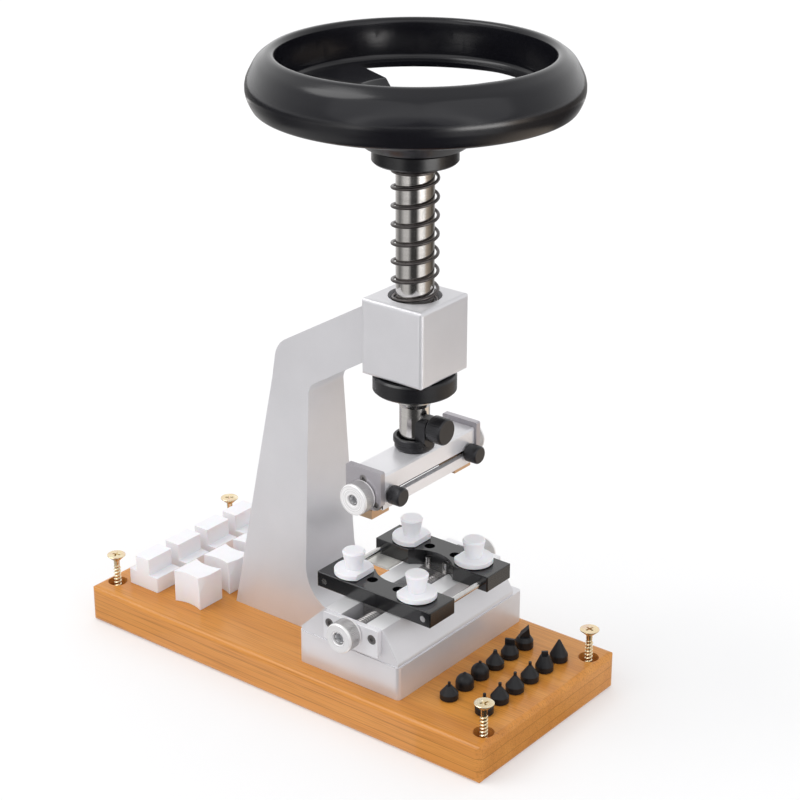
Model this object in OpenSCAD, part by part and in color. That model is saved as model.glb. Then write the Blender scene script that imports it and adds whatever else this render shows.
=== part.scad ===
// Bench case opener: a hand press with a turning two-jaw opener head over a four-peg vise, on a wooden base.
// Millimetres. X runs along the base from the column to the bit rack, Y across it to the far side, Z up.
// The origin is the centre of the base's underside.

/* [Wooden base] */
// Length of the wooden base
base_l = 240; // [236:1:300]
// Width of the wooden base
base_w = 107; // [105:1:140]
// Thickness of the wooden base
base_h = 18.6; // [15:0.1:26]
// Radius of the base's upright corners
base_corner_r = 4; // [1:0.5:8]
// Radius of the base's long edges
base_edge_r = 2.6; // [1:0.1:5]
// Distance of the corner screw holes from the base's ends
hole_inset_x = 7.2; // [6:0.1:10]
// Distance of the corner screw holes from the base's long sides
hole_inset_y = 12.2; // [7:0.1:16]
// Radius of the corner screw holes
hole_r = 2.2; // [1.8:0.1:3]
// Radius of the counterbores at the top of the corner holes
sink_r = 4.8; // [4:0.1:6]
// Depth of the counterbores at the top of the corner holes
sink_depth = 7; // [3:0.5:10]

/* [Wood screws] */
// Length of a wood screw from its tip to the top of its head
wood_screw_l = 32.9; // [20:0.1:45]
// Radius of a wood screw's head
wood_screw_head_r = 4.55; // [3.5:0.05:5]
// Outer radius of a wood screw's thread
wood_screw_r = 1.9; // [1.5:0.05:2]

/* [Frame casting] */
// Distance of the spindle from the middle of the base along X
spindle_x = 42; // [30:1:50]
// Distance from the spindle to the front of the column
throat = 51.3; // [48:0.1:60]
// Distance from the spindle to the back of the column at its foot
column_foot = 94.5; // [85:0.5:100]
// Distance from the spindle to the back of the column at its top
column_top = 71; // [66:0.5:75]
// Half the width of the column at its foot
column_half_foot = 20; // [15:0.5:26]
// Half the width of the column at the arm
column_half_top = 12.4; // [9:0.1:15]
// Height of the head's underside above the wooden base
head_under = 138.9; // [125:0.1:180]
// Height of the head
head_h = 36.2; // [28:0.1:46]
// Side of the square head
head_w = 34; // [28:0.5:42]
// Radius of the head's edges
head_edge_r = 2.2; // [1:0.1:4]
// Depth of the spring recess in the head's top
recess_depth = 4; // [2:0.5:8]
// Height of the plinth above the wooden base
plinth_h = 16.6; // [12:0.1:18]
// Reach of the plinth from the spindle towards the column
plinth_back = 32.5; // [30:0.5:36]
// Reach of the plinth from the spindle towards the bit rack
plinth_front = 26; // [24:0.5:29]
// Half the length of the vise bed along Y
bed_half = 44; // [41:0.5:50]
// How far the plinth stands out past the vise bed on the far side
plinth_far_ledge = 6; // [2:0.5:7]
// Height of the vise bed above the wooden base
bed_h = 33.1; // [30:0.1:40]
// Width of the flat top of the vise bed
bed_top_w = 33; // [28:0.5:40]
// Width of the slot in the vise bed
slot_w = 14.6; // [12:0.1:18]

/* [Spindle] */
// Radius of the spindle
spindle_r = 8.5; // [6:0.1:9.5]
// Radial running clearance of shafts in their bores
run_clear = 0.06; // [0.02:0.01:0.1]
// Wall of the bush in the head
bush_wall = 2; // [1.5:0.1:3]
// Radius of the two black collars
collar_r = 18.9; // [15:0.1:22]
// Height of the upper collar
upper_collar_h = 6.6; // [4:0.1:10]
// Height of the lower collar
lower_collar_h = 8; // [5:0.1:10]
// Length of the spindle between the head's top and the upper collar
spring_open = 60.9; // [52:0.1:80]
// Radius of the spindle's lower end, which the holder grips
stub_r = 6.9; // [5:0.1:7.8]
// Length of the spindle's lower end
stub_l = 17.5; // [15:0.1:22]
// Length of the taper between the spindle and its thinner lower end
shaft_taper = 2.4; // [0.5:0.1:4]
// How far the full spindle reaches below the head
shaft_under = 15.7; // [13:0.1:20]

/* [Return spring] */
// Radius of the spring's wire
wire_r = 0.72; // [0.5:0.01:0.8]
// Radius of the spring's coils at the middle of the wire
coil_r = 10; // [9.8:0.05:10.4]
// Rise of the open coils in one turn
coil_pitch = 8.4; // [6:0.1:10]
// Rise of the closed end coils in one turn
end_pitch = 2.4; // [2.2:0.1:3]
// Direction of the wire's lower end, in degrees from X
coil_start = 302; // [0:1:359]

/* [Handwheel] */
// Outer radius of the handwheel
wheel_r = 72; // [60:0.5:86]
// Width of the rim from its outside to its inner edge
rim_w = 12.8; // [10:0.1:18]
// Height of the rim
rim_h = 24.2; // [18:0.1:30]
// Height of the rim's underside above the hub's underside
rim_lift = 17.1; // [12:0.1:22]
// Radius of the wheel's hub at the level of the spokes
hub_r = 20.5; // [17:0.1:24]
// Height of the hub's seat for the nut above the hub's underside
hub_h = 15.4; // [12:0.1:17]
// Angle that a spoke takes up, in degrees
spoke_w = 30; // [20:1:50]
// Direction of the first spoke, in degrees from X
spoke_angle = 171; // [0:1:359]
// Radius of the spindle's threaded top
top_thread_r = 6; // [5:0.1:7]

/* [Opener head] */
// Half the length of the opener bar
bar_half = 33.7; // [28:0.1:36]
// Width of the opener bar
bar_w = 17.4; // [15:0.1:22]
// Height of the opener bar
bar_h = 16.4; // [15:0.1:22]
// Thickness of the bar's side walls
bar_wall = 2.7; // [2:0.1:3.5]
// Thickness of the bar's top
bar_roof = 5.9; // [4:0.1:7]
// How far the wall opposite the slot hangs below the other one
bar_skirt = 4; // [0:0.1:4.4]
// Height of the slot along the bar's side
bar_slot_h = 3; // [2.8:0.1:4]
// Height of the jaw screw above the bar's underside
jaw_screw_up = 6.3; // [6:0.1:7]
// Radius of the jaw screw
jaw_screw_r = 2.5; // [2:0.1:3]
// Thickness of the opener's end plates
end_plate_t = 3; // [2:0.1:4]
// Width of the opener's end plates
end_plate_w = 19.7; // [18:0.1:24]
// Height of the end plates above the bar's top
end_plate_up = 2.6; // [0.5:0.1:4]
// Radius of the opener's knobs
opener_knob_r = 7.35; // [6:0.05:9]
// Length of the opener's knobs
opener_knob_l = 7.3; // [5:0.1:9]
// Distance of each jaw from the spindle, jaws fully open
jaw_open = 28.4; // [26:0.1:28.5]
// Length of a jaw's body along the bar
jaw_l = 8; // [6:0.1:8.4]
// Reach of a jaw's foot beyond the jaw's middle
jaw_foot_reach = 8.1; // [7:0.1:9]
// Width of a jaw's foot
jaw_foot_w = 9.2; // [8:0.1:10.5]
// How far a jaw's foot hangs below the bar
jaw_foot_h = 4.7; // [4:0.1:8]
// Radius of the thumb knobs on the jaws
jaw_knob_r = 4.3; // [3.5:0.1:4.4]
// Length of the thumb knobs on the jaws
jaw_knob_l = 7; // [5:0.1:9]

/* [Holder] */
// Outer radius of the holder cup
cup_r = 9.7; // [9:0.1:12]
// Thickness of the holder cup's wall
cup_wall = 1.5; // [1.2:0.1:2]
// Height of the holder cup
cup_h = 6.2; // [5.5:0.1:8]
// Thickness of the cup's floor
cup_floor = 3.2; // [2.5:0.1:4]
// Depth of the seat in the cup that holds the spindle's end
cup_seat = 1; // [0.5:0.1:2]
// Height of the clamp lug's top above the cup's underside
lug_h = 16.6; // [16:0.1:18]
// Height of the clamp lug's lower edge above the cup's underside
lug_low = 3.6; // [3:0.1:5]
// Width of the clamp lug
lug_w = 11; // [9:0.1:12]
// Height of the clamp screw above the cup's underside
clamp_up = 11.9; // [11:0.1:12]
// Radius of the clamp screw's knob
clamp_knob_r = 6.2; // [5:0.1:7]
// Length of the clamp screw's knob
clamp_knob_l = 8; // [6:0.1:10]

/* [Vise] */
// Length of a vise block along X
block_l = 65.8; // [64:0.1:74]
// Width of a vise block along Y
block_w = 18.5; // [18:0.1:22]
// Height of a vise block
block_h = 7.6; // [6:0.1:10]
// Distance from the spindle to the inner edge of a vise block
block_gap = 12.25; // [10:0.05:14]
// Radius of the round recess in the blocks' inner edges
recess_r = 18; // [16:0.1:20]
// Distance from the middle of a block to its outer peg holes
peg_x = 18.3; // [16.5:0.1:19]
// Distance from the middle of a block to its inner peg holes
spare_hole_x = 7.4; // [6.8:0.1:8]
// Thickness of the slide plate under the far block
slide_plate_t = 1.1; // [0.8:0.1:1.2]
// Distance from the spindle to the slide plate's front edge
slide_plate_y = 3; // [1:0.5:8]
// Radius of the peg holes
peg_hole_r = 2.5; // [2:0.1:3]
// Distance from the middle of a block to the guide rods
rod_x = 28.6; // [28.2:0.1:30]
// Radius of the guide rods
rod_r = 1.5; // [1.2:0.1:2]
// How far the guide rods stand out beyond the far block
rod_out = 3.2; // [1:0.1:6]
// Height of the vise screw above the wooden base
vise_screw_up = 27.7; // [27:0.1:28.5]
// Radius of the vise screw
vise_screw_r = 3; // [2.5:0.1:3.5]
// Length of a vise nut along Y
nut_l = 14; // [10:0.1:16]
// Thickness of the vise's end plates
vise_plate_t = 2.7; // [2:0.1:4]
// Width of the vise's end plates
vise_plate_w = 31.6; // [30:0.1:33]
// Radius of the vise's knobs
vise_knob_r = 7.2; // [6:0.05:8]
// Length of the vise's knobs
vise_knob_l = 8.4; // [6:0.1:10]

/* [Pegs] */
// Radius of a peg's flange
peg_flange_r = 9.2; // [8:0.1:9.8]
// Thickness of a peg's flange
peg_flange_h = 2.7; // [2:0.1:4]
// Distance from a peg's axis to the flat on its flange
peg_flat = 6.6; // [6:0.1:8]
// Radius of a peg's body at its foot
peg_foot_r = 3.9; // [3:0.1:5]
// Radius of a peg's body at its top
peg_top_r = 5.4; // [4:0.1:5.9]
// Height of a peg above its block
peg_h = 11.9; // [9:0.1:15]

/* [Bits and spare blocks] */
// Radius of a bit
bit_r = 4.25; // [3.5:0.05:4.8]
// Radius of a bit's stem
bit_stem_r = 2; // [1.5:0.1:2.5]
// Length of a bit's stem
bit_stem_l = 4.2; // [3:0.1:8]
// Distance between neighbouring bits in a row
bit_pitch = 11.7; // [10.5:0.1:12]
// Distance from the base's end to the outer row of bits
bit_row_outer = 16.5; // [16:0.5:17]
// Distance between the two rows of bits
bit_rows_gap = 19.5; // [18:0.1:20]
// Length of a white block along Y
spare_l = 16.2; // [14:0.1:17]
// Distance between neighbouring white blocks
spare_pitch = 21; // [19:0.1:22]
// Height of a white block
spare_h = 16.4; // [12:0.1:20]
// Width of a stepped white block
step_w = 19; // [17:0.1:19.5]
// Width of a grooved white block
groove_w = 16.6; // [14:0.1:17]

/* [Hidden] */
$fn = 64;

// Finishes
wood = [0.78, 0.49, 0.25];
silver = [0.80, 0.80, 0.82];
steel = [0.70, 0.69, 0.68];
black = [0.10, 0.10, 0.11];
nylon = [0.90, 0.90, 0.92];
brass = [0.62, 0.42, 0.24];
zinc = [0.85, 0.76, 0.50];

// Gaps: between faces that slide on each other, between pieces that touch, and past a cut's ends
slide_gap = 0.3;
seat_gap = 0.05;
over = 1;

// Heights from the wooden base upwards
deck = base_h;
plinth_z = deck + plinth_h;
bed_z = deck + bed_h;
vise_z = deck + vise_screw_up;
block_z = bed_z + slide_gap;
block_top = block_z + block_h;
head_z = deck + head_under;
head_top = head_z + head_h;
recess_z = head_top - recess_depth;

// Heights along the spindle
collar_z = head_top + spring_open;
hub_z = collar_z + upper_collar_h + seat_gap;
hub_top = hub_z + hub_h;
rim_z = hub_z + rim_lift;
lower_collar_z = head_z - slide_gap - lower_collar_h;
shaft_end = head_z - shaft_under;
stub_end = shaft_end - stub_l;
cup_z = stub_end - slide_gap - cup_floor;
bar_top = cup_z;
bar_z = bar_top - bar_h;
jaw_z = bar_z + jaw_screw_up;
channel_top = bar_top - bar_roof;
clamp_z = cup_z + clamp_up;

// Places on the wooden base
hole_x = base_l / 2 - hole_inset_x;
hole_y = base_w / 2 - hole_inset_y;
bit_x = [base_l / 2 - bit_row_outer - bit_rows_gap, base_l / 2 - bit_row_outer];
bit_y0 = -28.2;
step_x = -base_l / 2 + 22.5;
groove_x = -base_l / 2 + 52.2;
spare_y0 = -38.4 + spare_l / 2;
spare_stem_r = peg_hole_r - slide_gap;
spare_stem_l = 7;
bolt_places = [[18, -33], [18, 33], [-76, -9], [-76, 9]];
bolt_r = 2.5;
bolt_head_r = 4.25;
bolt_head_h = 5;
bolt_l = 30;
washer_r = 6;
washer_h = 1.2;
bolt_sink = 8;

// Middle of a vise block along Y, and the vise's small screws
block_y = block_gap + block_w / 2;
nut_w = slot_w - 2 * slide_gap;
nut_h = 13.2;
nut_screw_x = 5;
nut_screw_y = 4.4;
nut_screw_r = 1.25;
plate_screw_x = 12.3;
plate_screw_r = 1.25;
plate_screw_head_r = 2.3;

// The slide plate's sides and its screws
plate_left = spindle_x - plinth_back + 1;
plate_right = spindle_x - bed_top_w / 2 - 1.5;
plate_hole_x = (plate_left + plate_right) / 2;
plate_hole_y = [block_y - 5, block_y + 5];

// A circular arc as points
function arc_points(centre, r, from, to, steps) =
    [for (i = [0 : steps]) centre + r * [cos(from + (to - from) * i / steps),
                                         sin(from + (to - from) * i / steps)]];

// One corner of an outline, rounded to the radius in its third number
function rounded_corner(a, b, c, steps) =
    let (u = [a.x - b.x, a.y - b.y] / norm([a.x - b.x, a.y - b.y]),
         v = [c.x - b.x, c.y - b.y] / norm([c.x - b.x, c.y - b.y]),
         half = acos(u * v) / 2,
         centre = [b.x, b.y] + (u + v) / norm(u + v) * b.z / sin(half),
         start = [b.x, b.y] + u * b.z / tan(half) - centre,
         end = [b.x, b.y] + v * b.z / tan(half) - centre,
         from = atan2(start.y, start.x),
         turn = (atan2(end.y, end.x) - from + 540) % 360 - 180)
    arc_points(centre, b.z, from, from + turn, steps);

// A closed outline whose corners are [x, y, radius]
function rounded_outline(corners, steps = 6) =
    [for (i = [0 : len(corners) - 1])
        let (n = len(corners), a = corners[(i + n - 1) % n], b = corners[i], c = corners[(i + 1) % n])
        each b.z == 0 ? [[b.x, b.y]] : rounded_corner(a, b, c, steps)];

// A rectangle with round corners
module rounded_rect(l, w, r) {
    square([l - 2 * r, w], center = true);
    square([l, w - 2 * r], center = true);
    for (x = [-1, 1], y = [-1, 1])
        translate([x * (l / 2 - r), y * (w / 2 - r)]) circle(r);
}

// A block standing on Z = 0 with round upright corners and round top and bottom edges
module soft_block(l, w, h, corner_r, edge_r) {
    intersection() {
        linear_extrude(h) rounded_rect(l, w, corner_r);
        translate([0, 0, h / 2]) rotate([90, 0, 0])
            linear_extrude(w + over, center = true) rounded_rect(l, h, edge_r);
        translate([0, 0, h / 2]) rotate([90, 0, 90])
            linear_extrude(l + over, center = true) rounded_rect(w, h, edge_r);
    }
}

// A tube with a chamfer at both outer ends
module chamfered_ring(outer_r, inner_r, h, chamfer) {
    rotate_extrude()
        polygon([[inner_r, 0], [outer_r - chamfer, 0], [outer_r, chamfer], [outer_r, h - chamfer],
                 [outer_r - chamfer, h], [inner_r, h]]);
}

// A cylinder from a point along +X or along Y
module along_x(r, l) {
    rotate([0, 90, 0]) cylinder(r = r, h = l);
}

module along_y(r, l) {
    rotate([-90, 0, 0]) cylinder(r = r, h = l);
}

// A screw with a countersunk head, standing on its tip at Z = 0
module sunk_screw(l, r, head_r, tip) {
    head = head_r - r;
    rotate_extrude()
        polygon([[0, 0], [r, tip], [r, l - head - 0.4], [head_r, l - 0.4], [head_r, l], [0, l]]);
}

// A cross recess for a driver, cut from Z = 0 downwards
module cross_recess(size) {
    for (turn = [0, 90])
        rotate([0, 0, turn]) translate([-size, -size / 5, -size * 0.7]) cube([2 * size, size * 0.4, size]);
}

// A hexagonal socket, cut from Z = 0 downwards
module hex_socket(r, depth) {
    translate([0, 0, -depth]) cylinder(r = r, h = depth + over, $fn = 6);
}

module wood_base() {
    color(wood) difference() {
        soft_block(base_l, base_w, base_h, base_corner_r, base_edge_r);
        for (x = [-hole_x, hole_x], y = [-hole_y, hole_y]) translate([x, y, 0]) {
            translate([0, 0, -over]) cylinder(r = hole_r, h = base_h + 2 * over);
            translate([0, 0, base_h - sink_depth]) cylinder(r = sink_r, h = sink_depth + over);
        }
        for (p = bolt_places) translate([spindle_x + p.x, p.y, -over]) {
            cylinder(r = bolt_r + slide_gap, h = base_h + 2 * over);
            cylinder(r = washer_r + slide_gap, h = bolt_sink + over);
        }
        for (row = [0, 1], i = [0 : 5]) translate([bit_x[row], bit_y0 + i * bit_pitch, base_h - bit_stem_l - over])
            cylinder(r = bit_stem_r + slide_gap, h = bit_stem_l + 2 * over);
        for (x = [step_x, groove_x], i = [0 : 3])
            translate([x, spare_y0 + i * spare_pitch, base_h - spare_stem_l - over])
                cylinder(r = spare_stem_r + slide_gap, h = spare_stem_l + 2 * over);
    }
}

// Side outline of the column, the arm and the foot: X from the spindle, and height
module column_outline() {
    arm_slope = 0.587;
    under_slope = 0.616;
    arm_end = -head_w / 2 + 2;
    arm_top = head_top - 3.3;
    arm_under = head_z + 6.1;
    foot_z = deck + 13.4;
    polygon(rounded_outline([
        [-column_foot, deck, 0],
        [-column_top, arm_top - (column_top + arm_end) * arm_slope, 14],
        [arm_end, arm_top, 0],
        [arm_end, arm_under, 0],
        [-throat - 0.6, arm_under - (throat + 0.6 + arm_end) * under_slope, 7],
        [-throat + 0.8, foot_z, 20],
        [-plinth_back + 6, foot_z, 0],
        [-plinth_back + 6, deck, 0]], 10));
}

module frame_casting() {
    taper_z = head_z - 17;
    color(silver) translate([spindle_x, 0, 0]) difference() {
        union() {
            intersection() {
                rotate([90, 0, 0]) linear_extrude(2 * column_half_foot + over, center = true) column_outline();
                translate([-column_foot - over, 0, 0]) rotate([90, 0, 90])
                    linear_extrude(column_foot + over)
                        polygon([[-column_half_foot, deck], [column_half_foot, deck],
                                 [column_half_top, taper_z], [column_half_top, head_top],
                                 [-column_half_top, head_top], [-column_half_top, taper_z]]);
            }
            translate([0, 0, head_z]) soft_block(head_w, head_w + 0.5, head_h, head_edge_r, head_edge_r);
            translate([(plinth_front - plinth_back) / 2, plinth_far_ledge / 2, deck])
                linear_extrude(plinth_h)
                    rounded_rect(plinth_front + plinth_back, 2 * bed_half + plinth_far_ledge + 0.8, 2);
            rotate([90, 0, 0]) linear_extrude(2 * bed_half, center = true)
                polygon([[-plinth_back + 1.2, plinth_z - over], [plinth_front - 0.8, plinth_z - over],
                         [plinth_front - 0.8, plinth_z + 2.2], [bed_top_w / 2, bed_z], [-bed_top_w / 2, bed_z],
                         [-plinth_back + 1.2, plinth_z + 2.2]]);
        }
        translate([-slot_w / 2, -bed_half - over, vise_z - 9.3])
            cube([slot_w, 2 * (bed_half + over), bed_h]);
        translate([0, 0, head_z - over]) cylinder(r = spindle_r + run_clear + bush_wall, h = head_h + 2 * over);
        translate([0, 0, recess_z]) cylinder(r = coil_r + wire_r + 1.3, h = recess_depth + over);
        for (p = bolt_places) translate([p.x, p.y, deck - over]) cylinder(r = bolt_r + seat_gap, h = 20);
        for (x = [-plate_screw_x, plate_screw_x], side = [-1, 1])
            translate([x, side > 0 ? bed_half - 8 : -bed_half - over, vise_z]) along_y(plate_screw_r, 8 + over);
    }
}

module spindle_bush() {
    color(steel) translate([spindle_x, 0, head_z])
        chamfered_ring(spindle_r + run_clear + bush_wall - seat_gap, spindle_r + run_clear,
                       head_h - recess_depth, 0.4);
}

module base_bolts() {
    color(steel) for (p = bolt_places) translate([spindle_x + p.x, p.y, bolt_sink - washer_h])
        difference() {
            union() {
                cylinder(r = bolt_r, h = bolt_l - bolt_sink + washer_h);
                translate([0, 0, -bolt_head_h]) cylinder(r = bolt_head_r, h = bolt_head_h);
            }
            translate([0, 0, -bolt_head_h - over]) cylinder(r = 2.3, h = 2.5 + over, $fn = 6);
        }
}

module base_washers() {
    color(steel) for (p = bolt_places) translate([spindle_x + p.x, p.y, bolt_sink - washer_h])
        difference() {
            cylinder(r = washer_r, h = washer_h);
            translate([0, 0, -over]) cylinder(r = bolt_r + seat_gap, h = washer_h + 2 * over);
        }
}

module wood_screws() {
    color(zinc) for (x = [-hole_x, hole_x], y = [-hole_y, hole_y]) translate([x, y, 0.6]) difference() {
        sunk_screw(wood_screw_l, wood_screw_r, wood_screw_head_r, 5);
        translate([0, 0, wood_screw_l]) rotate([0, 0, 12]) cross_recess(2.4);
    }
}

// A bit standing in the rack: stem in its hole, round skirt, then the profile of its head
module bit(row, place, profile) {
    translate([bit_x[row], bit_y0 + place * bit_pitch, deck]) rotate_extrude()
        polygon(concat([[0, -bit_stem_l], [bit_stem_r, -bit_stem_l], [bit_stem_r, 0.2], [bit_r - 0.3, 0.2],
                        [bit_r, 0.5]], profile));
}

// A bit with a flat blade on top of a low cone
module bladed_bit(row, place, cone_h, h, blade_l, blade_w, turn) {
    bit(row, place, [[bit_r, 3], [2, cone_h], [0, cone_h]]);
    translate([bit_x[row], bit_y0 + place * bit_pitch, deck + cone_h - 2]) rotate([0, 0, turn])
        translate([-blade_l / 2, -blade_w / 2, 0]) cube([blade_l, blade_w, h - cone_h + 2]);
}

module pin_bits() {
    color(black) {
        bit(0, 0, [[bit_r, 3], [1.4, 6.6], [0.7, 6.8], [0.7, 8.4], [0, 8.4]]);
        for (place = [0 : 3]) bit(1, place, [[bit_r, 3.2], [1, 7.8], [0.75, 8], [0.75, 9.8], [0, 9.8]]);
    }
}

module flat_pin_bit() {
    color(black) bladed_bit(1, 4, 8, 10, 3, 1.2, 40);
}

module dome_bits() {
    color(black) for (place = [1, 2])
        bit(0, place, concat(arc_points([0, 3], bit_r, 0, 60, 5),
                             [[0.7, 3.4 + bit_r], [0.7, 7.4 + place * 0.5], [0, 7.4 + place * 0.5]]));
}

module chisel_bit() {
    color(black) {
        bit(0, 3, [[bit_r, 3], [1.2, 7.2], [0.8, 9], [0, 9]]);
        bladed_bit(0, 4, 7, 9.6, 4.6, 1.4, 20);
    }
}

module claw_bit() {
    color(black) translate([bit_x[0], bit_y0 + 5 * bit_pitch, deck]) {
        rotate_extrude() polygon([[0, -bit_stem_l], [bit_stem_r, -bit_stem_l], [bit_stem_r, 0.2],
                                  [bit_r - 0.3, 0.2], [bit_r, 0.5], [bit_r, 4], [3, 6], [0, 6]]);
        intersection() {
            rotate([90, 0, 38]) linear_extrude(4, center = true) polygon([[-3.4, 3], [3.2, 3], [2.6, 6], [2, 11], [-1.6, 7.6]]);
            cylinder(r = bit_r, h = 12);
        }
    }
}

module cone_bit() {
    color(black) bit(1, 5, [[bit_r, 3.4], [0.5, 10.8], [0, 11]]);
}

module spare_stem(x, place) {
    translate([x, spare_y0 + place * spare_pitch, deck - spare_stem_l]) cylinder(r = spare_stem_r, h = spare_stem_l + over);
}

module step_blocks() {
    foot_h = spare_h * 0.48;
    wall_w = step_w * 0.48;
    color(nylon) for (i = [0 : 3]) {
        spare_stem(step_x, i);
        translate([step_x, spare_y0 + i * spare_pitch, deck + 0.1]) {
            linear_extrude(foot_h) rounded_rect(step_w, spare_l, 0.6);
            translate([-0.4, 0, 0]) linear_extrude(spare_h) rounded_rect(wall_w, spare_l, 0.6);
        }
    }
}

module groove_blocks() {
    hollow_r = 19;
    bevel_turn = 14.4;
    bevel_tilt = 13.6;
    color(nylon) for (i = [0 : 3]) {
        spare_stem(groove_x, i);
        translate([groove_x, spare_y0 + i * spare_pitch, deck + 0.1]) difference() {
            linear_extrude(spare_h) rounded_rect(groove_w, spare_l, 0.6);
            for (side = [-1, 1]) translate([0, side * (spare_l / 2 + hollow_r - 2), -over])
                cylinder(r = hollow_r, h = spare_h + 2 * over, $fn = 128);
            translate([groove_w / 2, -spare_l / 2, spare_h * 0.54]) rotate([0, -bevel_tilt, -bevel_turn])
                translate([0, -spare_l, -spare_h]) cube([spare_l, 2 * spare_l, 2 * spare_h]);
        }
    }
}

// The vise's end plate, seen from outside, with its back on Y = 0 and its front at Y = -thickness
module vise_plate() {
    plate_h = bed_h - plinth_h - 2.8;
    difference() {
        translate([0, -vise_plate_t, bed_z - 0.2 - plate_h / 2]) rotate([-90, 0, 0])
            linear_extrude(vise_plate_t) rounded_rect(vise_plate_w, plate_h, 0.8);
        translate([0, -vise_plate_t - over, vise_z]) along_y(vise_screw_r + run_clear, vise_plate_t + 2 * over);
        for (x = [-plate_screw_x, plate_screw_x]) translate([x, 0, vise_z]) {
            translate([0, -vise_plate_t - over, 0]) along_y(plate_screw_r + seat_gap, vise_plate_t + 2 * over);
            translate([0, -vise_plate_t - over, 0]) along_y(plate_screw_head_r + seat_gap, 1.6 + over);
        }
    }
}

module vise_near_plate() {
    color(silver) translate([spindle_x, -bed_half, 0]) vise_plate();
}

module vise_far_plate() {
    color(silver) translate([spindle_x, bed_half, 0]) mirror([0, 1, 0]) vise_plate();
}

module vise_plate_screws() {
    color(steel) for (side = [-1, 1], x = [-plate_screw_x, plate_screw_x])
        translate([spindle_x + x, side * (bed_half + vise_plate_t), vise_z]) rotate([side > 0 ? -90 : 90, 0, 0])
            difference() {
                union() {
                    translate([0, 0, -1.6]) cylinder(r = plate_screw_head_r, h = 1.5);
                    translate([0, 0, -8]) cylinder(r = plate_screw_r - seat_gap, h = 7);
                }
                hex_socket(1.1, 1);
            }
}

// Height of the spring's wire after a number of turns
spring_low = recess_z + wire_r + 0.2;
spring_high = collar_z - slide_gap - washer_h - wire_r - 0.2;
end_turns = 0.75;
open_turns = (spring_high - spring_low - 2 * end_turns * end_pitch) / coil_pitch;
all_turns = open_turns + 2 * end_turns;
function spring_z(t) =
    t < end_turns ? spring_low + t * end_pitch
    : t < end_turns + open_turns ? spring_low + end_turns * end_pitch + (t - end_turns) * coil_pitch
    : spring_high - (all_turns - t) * end_pitch;
coil_rings = 8;
wire_sides = 6;
coil_steps = ceil(all_turns * coil_rings);
function coil_point(i) =
    let (t = all_turns * i / coil_steps, a = coil_start + 360 * t)
    [coil_r * cos(a), coil_r * sin(a), spring_z(t)];
function coil_way(i) =
    let (a = coil_start + 360 * all_turns * i / coil_steps) [-sin(a), cos(a), 0];
wire_path = concat([coil_point(0) - coil_way(0) * 2 * wire_r],
                   [for (i = [0 : coil_steps]) coil_point(i)],
                   [coil_point(coil_steps) + coil_way(coil_steps) * 2 * wire_r]);
wire_rings = len(wire_path);
function wire_tangent(i) =
    let (d = wire_path[min(i + 1, wire_rings - 1)] - wire_path[max(i - 1, 0)]) d / norm(d);
function wire_ring(i) =
    let (t = i == 0 ? coil_way(0) : i == wire_rings - 1 ? coil_way(coil_steps) : wire_tangent(i),
         u = cross(t, [0, 0, 1]) / norm(cross(t, [0, 0, 1])), v = cross(u, t))
    [for (k = [0 : wire_sides - 1])
        wire_path[i] + wire_r * (cos(k * 360 / wire_sides) * u + sin(k * 360 / wire_sides) * v)];
wire_gap = min([for (i = [1 : wire_rings - 2], j = [i + 5 : 1 : wire_rings - 2])
                norm(wire_path[i] - wire_path[j])]) - 2 * wire_r;
echo(spring_turns = all_turns, least_wire_gap = wire_gap);

module return_spring() {
    last = (wire_rings - 1) * wire_sides;
    color(steel) translate([spindle_x, 0, 0]) polyhedron(
        points = [for (i = [0 : wire_rings - 1]) each wire_ring(i)],
        faces = concat(
            [for (i = [0 : wire_rings - 2], k = [0 : wire_sides - 1])
                let (a = i * wire_sides + k, b = i * wire_sides + (k + 1) % wire_sides)
                each [[a, b, b + wire_sides], [a, b + wire_sides, a + wire_sides]]],
            [for (k = [1 : wire_sides - 2]) [0, k + 1, k]],
            [for (k = [1 : wire_sides - 2]) [last, last + k, last + k + 1]]));
}

module spring_washer() {
    color(steel) translate([spindle_x, 0, collar_z - slide_gap - washer_h])
        chamfered_ring(coil_r + wire_r + 0.6, spindle_r + run_clear, washer_h, 0.2);
}

module spindle_shaft() {
    thread_top = hub_top + wheel_washer_h + wheel_nut_h + 0.8;
    color(steel) translate([spindle_x, 0, 0]) difference() {
        rotate_extrude() polygon([[0, stub_end], [stub_r - 0.6, stub_end], [stub_r, stub_end + 0.6],
                                  [stub_r, shaft_end], [spindle_r, shaft_end + shaft_taper],
                                  [spindle_r, hub_z], [top_thread_r, hub_z], [top_thread_r, thread_top - 1],
                                  [top_thread_r - 1, thread_top], [0, thread_top]]);
        translate([stub_r - 0.5, -lug_w / 2, clamp_z - 3.5]) cube([2, lug_w, 7]);
    }
}

module upper_collar() {
    color(black) translate([spindle_x, 0, collar_z]) difference() {
        chamfered_ring(collar_r, spindle_r + seat_gap, upper_collar_h, 0.8);
        translate([-collar_r - over, 0, upper_collar_h / 2]) along_x(1.6, collar_r - spindle_r + over);
    }
}

module lower_collar() {
    color(black) translate([spindle_x, 0, lower_collar_z]) difference() {
        chamfered_ring(collar_r, spindle_r + seat_gap, lower_collar_h, 0.8);
        translate([-collar_r - over, 0, lower_collar_h / 2]) along_x(1.6, collar_r - spindle_r + over);
    }
}

// Grub screws that hold the two collars on the spindle
module collar_screws() {
    color(steel) for (z = [collar_z + upper_collar_h / 2, lower_collar_z + lower_collar_h / 2])
        translate([spindle_x - collar_r + 0.8, 0, z]) difference() {
            along_x(1.55, collar_r - spindle_r - 0.9);
            translate([-over, 0, 0]) rotate([0, 90, 0]) cylinder(r = 0.9, h = 2 + over, $fn = 6);
        }
}

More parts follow.
